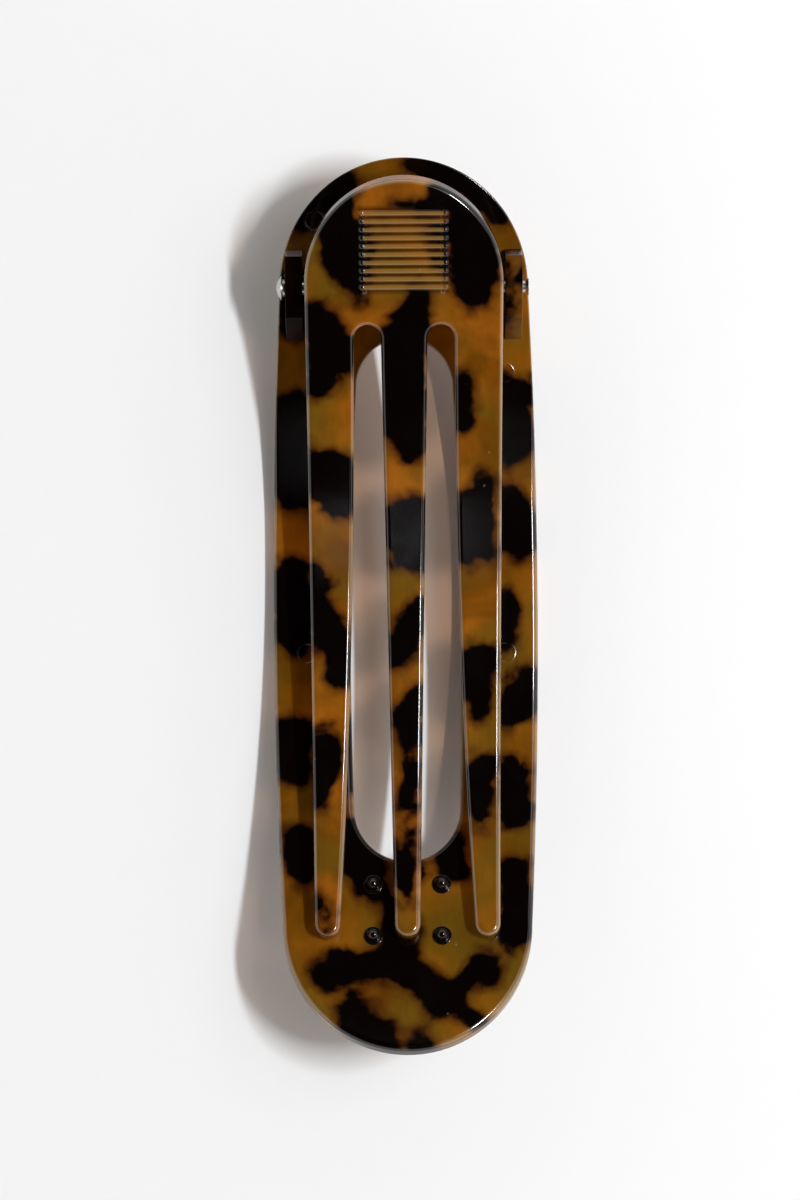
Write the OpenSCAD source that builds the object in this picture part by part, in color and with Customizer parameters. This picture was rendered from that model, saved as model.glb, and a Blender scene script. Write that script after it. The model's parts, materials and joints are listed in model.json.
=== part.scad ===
// Hinged three-prong barrette: a bowed plate with a window, two bonded ears, a sprung prong lever on a pin.
// Y runs along the clip, towards the thumb end. Z is up, and the plate lies on its bowed underside.

/* [Base plate] */
// Radius of the plate's bowed underside
plate_r = 150.6; // [140:0.2:175]
// Thickness of the plate
plate_t = 2.6; // [2.2:0.1:3]
// Half the plate's width at its widest
plate_half_w = 18.7; // [18.4:0.1:20]
// Half the plate's width where the round ends start
plate_end_r = 17.45; // [17.2:0.05:17.9]
// Distance from the plate's middle to the centre of each round end
plate_end_y = 44.9; // [44:0.1:46]
// How far the plate rocks towards its heavier thumb end as it lies on a table, in degrees
rest_tilt = 2.17; // [1.8:0.01:2.6]

/* [Window] */
// Half the window's width at its widest
window_half_w = 7.8; // [7.4:0.1:8.2]
// Radius of the window's gently bowed sides
window_side_r = 690; // [600:10:800]
// Where along the clip the window is widest
window_bow_y = -6; // [-8:0.5:-4]
// Centre of the window's upper round end
window_top_y = 31.1; // [30:0.1:32]
// Centre of the window's lower round end
window_low_y = -28; // [-29:0.1:-27]

/* [Prong lever] */
// Thickness of the lever
lever_t = 2.6; // [2:0.1:2.8]
// Clear height under the lever at its pivot
lift_at_pin = 6.2; // [6:0.1:6.6]
// Clear height under the prong tips when the clip is shut
lift_at_tips = 0.15; // [0.1:0.05:0.3]
// Radius of the thumb pad's round end
pad_r = 13.85; // [13.7:0.05:13.85]
// Centre of the thumb pad's round end
pad_y = 45.45; // [45:0.05:46]
// Half the lever's width at the prong tips
tips_half_w = 12.95; // [12.6:0.05:13.2]
// Where the prong tips' rounding starts
tips_y = -44.6; // [-45:0.1:-44]
// Centre of the rounded top of each slot
slot_top_y = 37.15; // [36:0.05:38]
// Distance from the middle to each slot's centre line at its top
slot_x = 5.15; // [5:0.05:5.3]
// Radius of each slot's rounded top
slot_r = 1.9; // [1.7:0.05:2]
// Half the middle prong's width at its tip
middle_tip_w = 1.8; // [1.7:0.05:1.9]
// Radius of the curve that spreads the outer prongs' inner edges
spread_r = 1430; // [1350:10:1600]

/* [Thumb ribs] */
// Number of raised ribs
rib_count = 10; // [8:1:10]
// Distance from rib to rib
rib_pitch = 1.09; // [1:0.01:1.1]
// The rib nearest the prongs
first_rib_y = 44.0; // [43.5:0.1:44.2]
// Half a rib's length between its round ends
rib_half_l = 5.75; // [5:0.05:6]
// Radius of a rib's round back
rib_r = 0.48; // [0.42:0.01:0.5]
// How far a rib stands above the pad
rib_h = 0.35; // [0.3:0.01:0.4]

/* [Hinge] */
// Distance of the pin from the plate's middle
pin_y = 44.6; // [44:0.1:45]
// Height of the pin above the plate's upper face
pin_lift = 2.4; // [2.4:0.1:2.6]
// Radius of the pin's shaft
pin_r = 0.9; // [0.8:0.01:0.9]
// Radius of the pin's domed head
head_r = 1.78; // [1.6:0.01:1.8]
// Radius of the neck under the pin's head
neck_r = 1.23; // [1.1:0.01:1.3]
// Radius of the flare that keeps the pin in
flare_r = 1.26; // [1.15:0.01:1.3]
// Clearance of the pin in the lever's lugs
lug_play = 0.05; // [0.03:0.01:0.08]
// Clearance of the pin in the ears
ear_play = 0.02; // [0.02:0.01:0.03]

/* [Ears] */
// Inner face of each ear
ear_in_x = 14.17; // [14.1:0.01:14.3]
// Outer face of each ear
ear_out_x = 16.58; // [16.4:0.01:16.6]
// Height of an ear above the plate
ear_h = 4.2; // [4.1:0.1:4.4]

/* [Studs] */
// Distance of each stud from the middle
stud_x = 4.8; // [4.6:0.1:5]
// Radius of a stud's collar
stud_collar_r = 1.35; // [1.2:0.05:1.4]
// Radius of a stud's dome
stud_r = 0.82; // [0.75:0.01:0.9]
// Height of a stud above the plate
stud_h = 1.5; // [1.3:0.1:1.6]

/* [Spring] */
// Radius of the spring's wire
wire_r = 0.35; // [0.3:0.05:0.4]
// Radius of the coil, to the middle of the wire
coil_r = 1.65; // [1.65:0.05:1.7]
// Number of turns of the coil
coil_turns = 6; // [4:1:7]

/* [Hidden] */
fine = 256;
round_fn = 48;
tip_step = 7.5;
spread_steps = 16;
eps = 0.01;
tall = 60;

// The plate's bow, and the arc that its upper face follows
bow_z = plate_r;
face_r = plate_r - plate_t;
plate_bulge = plate_half_w - plate_end_r;
plate_side_r = (pow(plate_end_y, 2) + pow(plate_bulge, 2)) / (2 * plate_bulge);
plate_end = plate_end_y + plate_end_r;

// The rocked plate is moved along Y until its ends are equally far from the origin
low_end_z = bow_z - sqrt(pow(plate_r, 2) - pow(plate_end, 2));
high_end_z = bow_z - sqrt(pow(face_r, 2) - pow(plate_end, 2));
rest_y = (2 * bow_z - low_end_z - high_end_z) * sin(rest_tilt) / 2;

// Where the pin's axis lies, and how far round the bow
pin_rho = face_r - pin_lift;
pin_phi = asin(pin_y / pin_rho);
pin_z = bow_z - sqrt(pow(pin_rho, 2) - pow(pin_y, 2));

// The lever follows an arc close to the plate's, shifted to give the clear heights at the pin and the tips
tips_phi = asin((tips_y - middle_tip_w) / face_r);
shift_den = sin(pin_phi - tips_phi);
lever_dz = (lift_at_tips * sin(pin_phi) - lift_at_pin * sin(tips_phi)) / shift_den;
lever_dy = (lift_at_tips * cos(pin_phi) - lift_at_pin * cos(tips_phi)) / shift_den;
lever_z = bow_z + lever_dz;
lever_r = sqrt(pow(face_r, 2) + pow(lever_dy, 2) + pow(lever_dz, 2));
lever_top_r = lever_r - lever_t;

// The lugs under the thumb pad
lug_in_x = 11.7;
lug_out_x = 13.6;
lug_r = 2.0;

// The ears' profile, along the plate and up from it
ear_back = 4.9;
ear_top_front = -3.9;
ear_toe = -8.0;
ear_toe_h = 0.3;
ear_sink = 1.5;

// The pin's length past the ears
neck_l = 0.45;
head_l = 0.87;
tail_l = 0.92;
flare_l = 0.3;
tube_r = 0.55;
tube_l = 0.8;

// The studs' places along the plate, and their collar and socket
stud_ys = [-38.9, -46.0];
collar_h = 0.2;
socket_depth = 1.2;
stud_peg_r = 0.8;

// The shallow round witness marks on the plate's upper face
mark_r = 1.35;
mark_depth = 0.08;
marks = [[-12.4, 54], [14, 33], [14, -6.3], [-14, -6.3], [0, -42.6]];

// The spring's coil and legs
wire_sides = 8;
turn_steps = 16;
coil_pitch = 2 * wire_r + 0.06;
leg_l = 8.4;
leg_play = 0.04;
low_leg_z = pow(leg_l, 2) / (2 * face_r) - pin_lift + wire_r + leg_play;
high_leg_z = lift_at_pin - pin_lift + wire_r - leg_play;
coil_half = coil_turns * coil_pitch / 2;

function on_face(y) = bow_z - sqrt(pow(face_r, 2) - pow(y, 2));
function bowed_x(half_w, side_r, dy) = half_w - side_r + sqrt(pow(side_r, 2) - pow(dy, 2));
function spread_x(y) = slot_x + slot_r + spread_r - sqrt(pow(spread_r, 2) - pow(slot_top_y - y, 2));

// A cylinder lying along X, centred on a point of the YZ plane
module bar(r, l, y, z, fn = fine) {
    translate([-l / 2, y, z]) rotate([0, 90, 0]) cylinder(r = r, h = l, $fn = fn);
}

// A strip with gently bowed sides and round ends
module bowed_outline(half_w, side_r, bow_y, top_y, low_y) {
    intersection() {
        translate([half_w - side_r, bow_y]) circle(r = side_r, $fn = 720);
        translate([side_r - half_w, bow_y]) circle(r = side_r, $fn = 720);
        translate([-half_w * 2, low_y]) square([half_w * 4, top_y - low_y]);
    }
    translate([0, top_y]) circle(r = bowed_x(half_w, side_r, top_y - bow_y), $fn = fine);
    translate([0, low_y]) circle(r = bowed_x(half_w, side_r, low_y - bow_y), $fn = fine);
}

// One slot between two prongs, open at the tips
module slot_outline() {
    spread_ys = [for (i = [0 : spread_steps]) tips_y + (slot_top_y - tips_y) * i / spread_steps];
    translate([slot_x, slot_top_y]) circle(r = slot_r, $fn = fine);
    polygon(concat(
        [[slot_x - slot_r, slot_top_y], [middle_tip_w, tips_y], [middle_tip_w, 2 * tips_y]],
        [[spread_x(tips_y), 2 * tips_y]],
        [for (y = spread_ys) [spread_x(y), y]]
    ));
}

// The half-round end of one prong
module tip_outline(x, r) {
    polygon([for (a = [0 : tip_step : 180]) [x + r * cos(a), tips_y - r * sin(a)]]);
}

module lever_outline() {
    tip_in = spread_x(tips_y);
    tip_out = tips_half_w;
    difference() {
        union() {
            translate([0, pad_y]) circle(r = pad_r, $fn = fine);
            polygon([[pad_r, pad_y], [-pad_r, pad_y], [-tips_half_w, tips_y], [tips_half_w, tips_y]]);
        }
        slot_outline();
        mirror([1, 0]) slot_outline();
    }
    tip_outline(0, middle_tip_w);
    for (side = [-1, 1]) tip_outline(side * (tip_in + tip_out) / 2, (tip_out - tip_in) / 2);
}

// Rocks a piece with the plate, from the plate's own level frame to the way the clip lies
module as_it_lies() {
    translate([0, rest_y, bow_z]) rotate([-rest_tilt, 0, 0]) translate([0, 0, -bow_z]) children();
}

// Places a piece at the pin, with its own Z square to the plate there
module at_pin() {
    translate([0, pin_y, pin_z]) rotate([pin_phi, 0, 0]) children();
}

module base_plate() {
    color([0.42, 0.22, 0.05]) as_it_lies() difference() {
        intersection() {
            bar(plate_r, tall, 0, bow_z);
            linear_extrude(height = tall)
                bowed_outline(plate_half_w, plate_side_r, 0, plate_end_y, -plate_end_y);
        }
        bar(face_r, tall * 2, 0, bow_z);
        translate([0, 0, -1]) linear_extrude(height = tall)
            bowed_outline(window_half_w, window_side_r, window_bow_y, window_top_y, window_low_y);
        for (m = marks)
            translate([m[0], m[1], on_face(m[1])]) rotate([asin(m[1] / face_r), 0, 0])
                translate([0, 0, -mark_depth]) cylinder(r = mark_r, h = 1, $fn = round_fn);
        for (side = [-1, 1], y = stud_ys)
            translate([side * stud_x, y, on_face(y)]) rotate([asin(y / face_r), 0, 0])
                translate([0, 0, -socket_depth]) cylinder(r = stud_peg_r, h = 2, $fn = round_fn);
    }
}

// One upright block, from its foot on the bowed plate to its flat top
module ear() {
    rise = ear_h - pin_lift;
    difference() {
        intersection() {
            at_pin() translate([ear_in_x, 0, 0]) rotate([90, 0, 90])
                linear_extrude(height = ear_out_x - ear_in_x)
                    polygon([
                        [ear_back, rise], [ear_top_front, rise],
                        [ear_toe, ear_toe_h - pin_lift], [ear_toe, -pin_lift - ear_sink],
                        [ear_back, -pin_lift - ear_sink]
                    ]);
            bar(face_r, tall, 0, bow_z);
        }
        bar(pin_r + ear_play, tall, pin_y, pin_z, round_fn);
    }
}

module left_ear() {
    color([0.10, 0.06, 0.05]) as_it_lies() mirror([1, 0, 0]) ear();
}

module right_ear() {
    color([0.45, 0.25, 0.08]) as_it_lies() ear();
}

// One stud: a peg in the plate, a low collar and a dome
module stud() {
    translate([0, 0, -socket_depth]) cylinder(r = stud_peg_r, h = socket_depth + collar_h, $fn = round_fn);
    cylinder(r = stud_collar_r, h = collar_h, $fn = round_fn);
    intersection() {
        translate([0, 0, stud_h - stud_r]) sphere(r = stud_r, $fn = round_fn);
        translate([0, 0, stud_h]) cube(stud_r * 2, center = true);
    }
    cylinder(r = stud_r, h = stud_h - stud_r, $fn = round_fn);
}

module grip_studs() {
    color([0.07, 0.05, 0.05]) as_it_lies()
        for (side = [-1, 1], y = stud_ys)
            translate([side * stud_x, y, on_face(y)]) rotate([asin(y / face_r), 0, 0]) stud();
}

module ribs() {
    for (i = [0 : rib_count - 1]) {
        y = first_rib_y + i * rib_pitch;
        rho = lever_top_r - rib_h + rib_r;
        z = lever_z - sqrt(pow(rho, 2) - pow(y - lever_dy, 2));
        bar(rib_r, 2 * rib_half_l, y, z, 24);
        for (side = [-1, 1]) translate([side * rib_half_l, y, z]) sphere(r = rib_r, $fn = 24);
    }
}

// The two lugs under the thumb pad, up to the pad's underside
module lugs() {
    lug_w = lug_out_x - lug_in_x;
    for (side = [-1, 1]) difference() {
        at_pin() translate([side * (lug_in_x + lug_out_x) / 2, 0, 0]) {
            rotate([0, 90, 0]) cylinder(r = lug_r, h = lug_w, center = true, $fn = round_fn * 2);
            translate([-lug_w / 2, -lug_r, 0]) cube([lug_w, 2 * lug_r, lift_at_pin]);
        }
        bar(lever_r - lever_t / 2, tall, lever_dy, lever_z);
    }
}

module prong_lever() {
    color([0.55, 0.30, 0.06]) as_it_lies() difference() {
        union() {
            difference() {
                intersection() {
                    bar(lever_r, tall, lever_dy, lever_z);
                    linear_extrude(height = tall) lever_outline();
                }
                bar(lever_top_r, tall * 2, lever_dy, lever_z);
            }
            ribs();
            lugs();
        }
        bar(pin_r + lug_play, tall, pin_y, pin_z, round_fn);
    }
}

module hinge_pin() {
    color([0.78, 0.78, 0.80]) as_it_lies() translate([0, pin_y, pin_z]) rotate([0, 90, 0]) {
        difference() {
            translate([0, 0, -ear_out_x - neck_l - eps])
                cylinder(r = pin_r, h = 2 * ear_out_x + neck_l + tail_l, $fn = round_fn);
            translate([0, 0, ear_out_x + tail_l - tube_l]) cylinder(r = tube_r, h = tall, $fn = round_fn);
        }
        translate([0, 0, -ear_out_x - neck_l]) cylinder(r = neck_r, h = neck_l, $fn = round_fn);
        dome_r = (pow(head_r, 2) + pow(head_l, 2)) / (2 * head_l);
        intersection() {
            translate([0, 0, -ear_out_x - neck_l - head_l + dome_r]) sphere(r = dome_r, $fn = 96);
            translate([0, 0, -ear_out_x - neck_l - head_l]) cylinder(r = head_r, h = head_l, $fn = round_fn);
        }
        translate([0, 0, ear_out_x + tail_l - flare_l - eps]) difference() {
            cylinder(r1 = pin_r, r2 = flare_r, h = flare_l, $fn = round_fn);
            translate([0, 0, -1]) cylinder(r = tube_r, h = 2, $fn = round_fn);
        }
    }
}

// The wire's centre line: a leg on the plate, the coil, and a leg under the pad
function coil_point(i) = [
    -coil_half + coil_pitch * i / turn_steps,
    -coil_r * sin(360 * i / turn_steps),
    -coil_r * cos(360 * i / turn_steps)
];
low_leg = [-coil_half, leg_l, low_leg_z];
high_leg = [coil_half + coil_pitch / 2, leg_l, high_leg_z];
wire_path = concat([low_leg], [for (i = [0 : coil_turns * turn_steps + turn_steps / 2]) coil_point(i)], [high_leg]);

// Sweeps a round wire along a list of points, as one closed surface
module wire(path) {
    n = len(path);
    unit = function(v) v / norm(v);
    along = [for (i = [0 : n - 1]) unit(path[min(i + 1, n - 1)] - path[max(i - 1, 0)])];
    side = [for (i = [0 : n - 1]) unit(cross(along[i], [1, 0, 0.001]))];
    rings = [
        for (i = [0 : n - 1]) for (k = [0 : wire_sides - 1])
            path[i] + wire_r * (cos(360 * k / wire_sides) * side[i]
                + sin(360 * k / wire_sides) * cross(along[i], side[i]))
    ];
    walls = [
        for (i = [0 : n - 2]) for (k = [0 : wire_sides - 1])
            let (a = i * wire_sides, b = a + wire_sides, j = (k + 1) % wire_sides)
            [a + k, b + k, b + j, a + j]
    ];
    low_cap = [[for (k = [0 : wire_sides - 1]) k]];
    high_cap = [[for (k = [wire_sides - 1 : -1 : 0]) (n - 1) * wire_sides + k]];
    polyhedron(points = rings, faces = concat(walls, low_cap, high_cap), convexity = 10);
}

module torsion_spring() {
    color([0.70, 0.70, 0.72]) as_it_lies() at_pin() wire(wire_path);
}

base_plate();
left_ear();
right_ear();
grip_studs();
prong_lever();
hinge_pin();
torsion_spring();
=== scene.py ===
"""Looks of a hinged three-prong hair barrette in tortoiseshell sheet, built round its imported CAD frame.

The plate and the prong lever are bent sheets with rolled edges. The ears and lugs are bonded blocks, and the
pin, the studs and the spring are turned or wound pieces. All lengths named here are in millimetres, and the
meshes are made in metres in the frame's own axes: Y runs along the clip, towards its thumb end, and Z is up.
"""

import json
import logging
import math
from collections.abc import Callable
from dataclasses import dataclass, field, replace
from enum import Enum

import bmesh
import bpy
import numpy as np
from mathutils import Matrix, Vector
from mathutils.geometry import delaunay_2d_cdt

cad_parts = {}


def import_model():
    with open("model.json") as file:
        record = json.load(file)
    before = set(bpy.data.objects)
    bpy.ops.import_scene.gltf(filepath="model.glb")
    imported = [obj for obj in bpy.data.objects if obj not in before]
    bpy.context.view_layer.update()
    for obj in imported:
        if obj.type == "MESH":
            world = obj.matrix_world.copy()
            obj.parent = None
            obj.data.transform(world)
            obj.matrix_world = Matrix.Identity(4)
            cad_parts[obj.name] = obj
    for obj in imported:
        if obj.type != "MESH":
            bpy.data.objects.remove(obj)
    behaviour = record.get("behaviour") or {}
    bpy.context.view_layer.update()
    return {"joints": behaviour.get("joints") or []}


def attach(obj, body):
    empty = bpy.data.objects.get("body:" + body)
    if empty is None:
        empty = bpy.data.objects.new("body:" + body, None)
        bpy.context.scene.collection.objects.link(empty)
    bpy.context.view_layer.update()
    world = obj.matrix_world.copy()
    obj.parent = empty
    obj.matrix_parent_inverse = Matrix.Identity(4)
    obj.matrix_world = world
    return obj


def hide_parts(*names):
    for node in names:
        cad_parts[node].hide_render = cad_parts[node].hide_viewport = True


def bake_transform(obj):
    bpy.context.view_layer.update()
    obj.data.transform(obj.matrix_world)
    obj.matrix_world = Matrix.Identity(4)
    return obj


log = logging.getLogger("barrette")

MM = 0.001
DEEPEST = 4.0
Height = Callable[[np.ndarray, np.ndarray], np.ndarray]


# --- The frame --------------------------------------------------------------------------------


@dataclass(frozen=True)
class Rest:
    """How the clip lies: its level frame rocks about the plate's centre of bow, then slides along Y."""

    bow_z: float = 150.6
    tilt_deg: float = 2.17
    half_length: float = 62.35
    plate_t: float = 2.6

    @property
    def tilt(self) -> float:
        """The rock of the plate, in radians."""
        return math.radians(self.tilt_deg)

    @property
    def face_r(self) -> float:
        """Radius of the plate's hollow upper face."""
        return self.bow_z - self.plate_t

    @property
    def slide(self) -> float:
        """How far the rocked plate slides along Y, so that its ends are equally far from the middle."""
        low_r, high_r = self.bow_z, self.face_r
        low_z = self.bow_z - math.sqrt(low_r**2 - self.half_length**2)
        high_z = self.bow_z - math.sqrt(high_r**2 - self.half_length**2)
        return (2 * self.bow_z - low_z - high_z) * math.sin(self.tilt) / 2

    def place(self, points: np.ndarray) -> np.ndarray:
        """Moves points from the level frame to where the clip lies.

        Args:
            points: Rows of x, y and z in the level frame.

        Returns:
            The same rows as the clip lies.
        """
        out = self.turn(points - np.array([0, 0, self.bow_z]))
        return out + np.array([0, self.slide, self.bow_z])

    def turn(self, directions: np.ndarray) -> np.ndarray:
        """Turns directions with the rocked plate.

        Args:
            directions: Rows of x, y and z.

        Returns:
            The turned rows.
        """
        c, s = math.cos(self.tilt), math.sin(self.tilt)
        x, y, z = directions.T
        return np.stack([x, y * c + z * s, z * c - y * s], 1)


@dataclass(frozen=True)
class Bow:
    """The arc that a bent sheet follows in the level frame: its centre, and the radius of its lower face."""

    centre_y: float
    centre_z: float
    low_r: float
    thick: float

    @property
    def mid_r(self) -> float:
        """Radius of the sheet's middle, along which flat lengths keep their size."""
        return self.low_r - self.thick / 2

    @property
    def top_r(self) -> float:
        """Radius of the sheet's upper face."""
        return self.low_r - self.thick

    def unroll(self, y: np.ndarray | float, at_r: np.ndarray | float) -> np.ndarray:
        """Flat length at which a point of a given radius sits over a given Y.

        Args:
            y: Places along the clip, seen from above.
            at_r: Radius at which they are seen.

        Returns:
            The flat lengths.
        """
        return self.mid_r * np.arcsin((y - self.centre_y) / at_r)

    def bend(self, x: np.ndarray, s: np.ndarray, h: np.ndarray) -> np.ndarray:
        """Bends flat points onto the arc.

        Args:
            x: Places across the clip.
            s: Flat lengths along it.
            h: Heights above the lower face.

        Returns:
            Rows of x, y and z in the level frame.
        """
        angle, rho = s / self.mid_r, self.low_r - h
        return np.stack([x, self.centre_y + rho * np.sin(angle), self.centre_z - rho * np.cos(angle)], 1)

    def bend_normals(self, s: np.ndarray, flat: np.ndarray) -> np.ndarray:
        """Bends flat normals with their points.

        Args:
            s: Flat lengths of the points.
            flat: Rows of the normals across, along and up.

        Returns:
            The normals in the level frame.
        """
        c, q = np.cos(s / self.mid_r), np.sin(s / self.mid_r)
        return np.stack([flat[:, 0], flat[:, 1] * c - flat[:, 2] * q, flat[:, 1] * q + flat[:, 2] * c], 1)


@dataclass(frozen=True)
class PinSeat:
    """The hinge's own frame: the pin's middle, the slope of the plate there, and the plate below it."""

    origin: tuple[float, float, float]
    slope: float
    face_r: float
    lift: float

    def place(self, points: np.ndarray) -> np.ndarray:
        """Moves points from the hinge's frame to where the clip lies.

        Args:
            points: Rows of x, y and z, with z square to the plate at the pin.

        Returns:
            The same rows as the clip lies.
        """
        c, s = math.cos(self.slope), math.sin(self.slope)
        x, y, z = points.T
        return np.stack([x, y * c - z * s, y * s + z * c], 1) + np.array(self.origin)

    def back(self, points: np.ndarray) -> np.ndarray:
        """Moves points from where the clip lies back to the hinge's frame.

        Args:
            points: Rows of x, y and z.

        Returns:
            The same rows in the hinge's frame.
        """
        c, s = math.cos(self.slope), math.sin(self.slope)
        x, y, z = (points - np.array(self.origin)).T
        return np.stack([x, y * c + z * s, z * c - y * s], 1)


# --- Flat outlines ----------------------------------------------------------------------------


def arc(cx: float, cy: float, r: float, start: float, stop: float, step: float = 3.0) -> np.ndarray:
    """Points on an arc.

    Args:
        cx: Centre across.
        cy: Centre along.
        r: Radius.
        start: First angle in degrees.
        stop: Last angle in degrees.
        step: Angle between points in degrees.

    Returns:
        Rows of x and y.
    """
    angles = np.radians(np.linspace(start, stop, max(2, round(abs(stop - start) / step) + 1)))
    return np.stack([cx + r * np.cos(angles), cy + r * np.sin(angles)], 1)


def even_spaced(points: np.ndarray, step: float) -> np.ndarray:
    """Spaces a closed outline's points evenly along it.

    Args:
        points: Rows of x and y, without the first point again at the end.
        step: Wanted distance between points.

    Returns:
        The evenly spaced rows.
    """
    closed = np.vstack([points, points[:1]])
    lengths = np.hypot(*np.diff(closed, axis=0).T)
    keep = np.append(lengths > 1e-6, True)
    closed = closed[keep]
    along = np.concatenate([[0], np.cumsum(np.hypot(*np.diff(closed, axis=0).T))])
    at = np.linspace(0, along[-1], max(8, round(along[-1] / step)), endpoint=False)
    return np.stack([np.interp(at, along, closed[:, k]) for k in (0, 1)], 1)


def outward(points: np.ndarray) -> np.ndarray:
    """Normals that point away from the material of a closed outline, which keeps the material on its left.

    Args:
        points: Rows of x and y.

    Returns:
        Rows of unit normals.
    """
    ahead = np.roll(points, -1, 0) - np.roll(points, 1, 0)
    ahead /= np.hypot(*ahead.T)[:, None]
    return np.stack([ahead[:, 1], -ahead[:, 0]], 1)


def inside(points: np.ndarray, loops: list[np.ndarray]) -> np.ndarray:
    """Tells which points lie in the material between closed loops.

    Args:
        points: Rows of x and y.
        loops: Closed outlines, the outer one and any holes.

    Returns:
        True for each point in the material.
    """
    hit = np.zeros(len(points), bool)
    for loop in loops:
        after = np.roll(loop, -1, 0)
        for (ax, ay), (bx, by) in zip(loop, after):
            if ay == by:
                continue
            crosses = (points[:, 1] < ay) != (points[:, 1] < by)
            reach = ax + (points[:, 1] - ay) * (bx - ax) / (by - ay)
            hit ^= crosses & (points[:, 0] < reach)
    return hit


def nearest(points: np.ndarray, others: np.ndarray) -> np.ndarray:
    """Distance from each point to the nearest of some others.

    Args:
        points: Rows of x and y.
        others: Rows of x and y.

    Returns:
        One distance for each point.
    """
    out = np.full(len(points), 1e9)
    for block in np.array_split(others, max(1, len(others) // 200)):
        gap = np.hypot(points[:, None, 0] - block[None, :, 0], points[:, None, 1] - block[None, :, 1])
        out = np.minimum(out, gap.min(1))
    return out


# --- Dark stains in the sheet -----------------------------------------------------------------


@dataclass(frozen=True)
class Stain:
    """A dark patch of the sheet: a chain of round spots, each an (across, along, radius)."""

    spots: tuple[tuple[float, float, float], ...]

    def depth(self, x: np.ndarray, y: np.ndarray) -> np.ndarray:
        """How deep points lie in the patch.

        Args:
            x: Places across the clip.
            y: Places along it.

        Returns:
            Distance from the patch's edge, above zero inside it.
        """
        chain = self.spots if len(self.spots) > 1 else self.spots * 2
        best = np.full(len(x), -1e9)
        for (ax, ay, ar), (bx, by, br) in zip(chain, chain[1:]):
            dx, dy = bx - ax, by - ay
            t = ((x - ax) * dx + (y - ay) * dy) / max(dx * dx + dy * dy, 1e-9)
            t = np.clip(t, 0, 1)
            gap = np.hypot(x - ax - t * dx, y - ay - t * dy)
            best = np.maximum(best, ar + t * (br - ar) - gap)
        return best


def stain_depth(stains: tuple[Stain, ...], x: np.ndarray, y: np.ndarray, melt: float = 0.6) -> np.ndarray:
    """Joins stains into one smooth depth, so that neighbours run together like poured resin.

    Args:
        stains: The patches.
        x: Places across the clip.
        y: Places along it.
        melt: How far neighbours reach for each other.

    Returns:
        One depth for each point, held between -DEEPEST and DEEPEST.
    """
    total = sum(np.exp(np.clip(s.depth(x, y), -12, 6) / melt) for s in stains)
    return np.clip(melt * np.log(total + 1e-12), -DEEPEST, DEEPEST)


PLATE_STAINS = (
    Stain(((0.5, 61.6, 0.8), (6, 60.2, 1.5), (10.5, 57.6, 1.8), (13.2, 54.8, 1.3))),
    Stain(((-13.6, 54.2, 2.0), (-10.6, 57.2, 2.3), (-8.2, 59.2, 1.5))),
    Stain(((-15.8, 44.5, 2.2), (-15.6, 40, 2.0))),
    Stain(((-15.8, 27.5, 2.4), (-16.2, 21, 3.0), (-15.2, 16, 2.5))),
    Stain(((-16.2, 3.5, 2.4), (-15.6, -2, 3.2), (-15.4, -5.6, 2.0))),
    Stain(((-16, -18, 2.2), (-15.6, -22.8, 2.5))),
    Stain(((-15.4, -33, 1.9), (-14.8, -37.2, 2.0))),
    Stain(((16.8, 29.8, 2.0), (14.6, 31, 1.3), (15.2, 25.5, 2.9), (15, 22.4, 2.5))),
    Stain(((14.6, 13.6, 2.5), (16.2, 9.4, 2.7), (13, 8.8, 2.1))),
    Stain(((13.4, 0.2, 1.5), (13.2, -4.0, 1.8))),
    Stain(((17, -10.6, 1.9), (15.6, -13.6, 2.6), (13.8, -15.4, 1.8))),
    Stain(((14.6, -24.6, 2.8), (15.2, -28.6, 2.6))),
    Stain(((14.8, -38.2, 2.2), (16, -41.5, 2.4), (15.2, -45, 2.3))),
    Stain(((-8.8, -17.6, 1.6), (-8.6, -24.4, 1.8))),
    Stain(((-8.2, -31.6, 1.9), (-6.2, -36, 2.7), (-4.4, -39.4, 1.7))),
    Stain(((6.2, -33.2, 2.0), (6.2, -36.8, 1.7))),
    Stain(((0, -12.5, 1.6), (0.5, -37.5, 1.4))),
    Stain(((-1.4, -42.6, 1.6), (-1.4, -47, 2.3), (-2.2, -49.6, 2.4))),
    Stain(((-2.2, -49.4, 2.2), (-6, -49.8, 1.9), (-11.3, -51.6, 2.0))),
    Stain(((-1, -50.2, 2.3), (3.4, -53.2, 2.0), (7, -55.9, 1.4), (10, -57.5, 0.5))),
    Stain(((5.4, -54.4, 1.6), (8.2, -52.2, 1.5), (10.4, -50.4, 2.2))),
    Stain(((-7.4, -56.4, 2.1), (-6.4, -58.6, 2.4), (-4.4, -60.2, 1.9), (-2.6, -59.6, 1.0))),
    Stain(((-6, -62.4, 1.0), (3.4, -62.9, 0.5))),
    Stain(((1.4, -61.1, 1.2),)),
)
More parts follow.
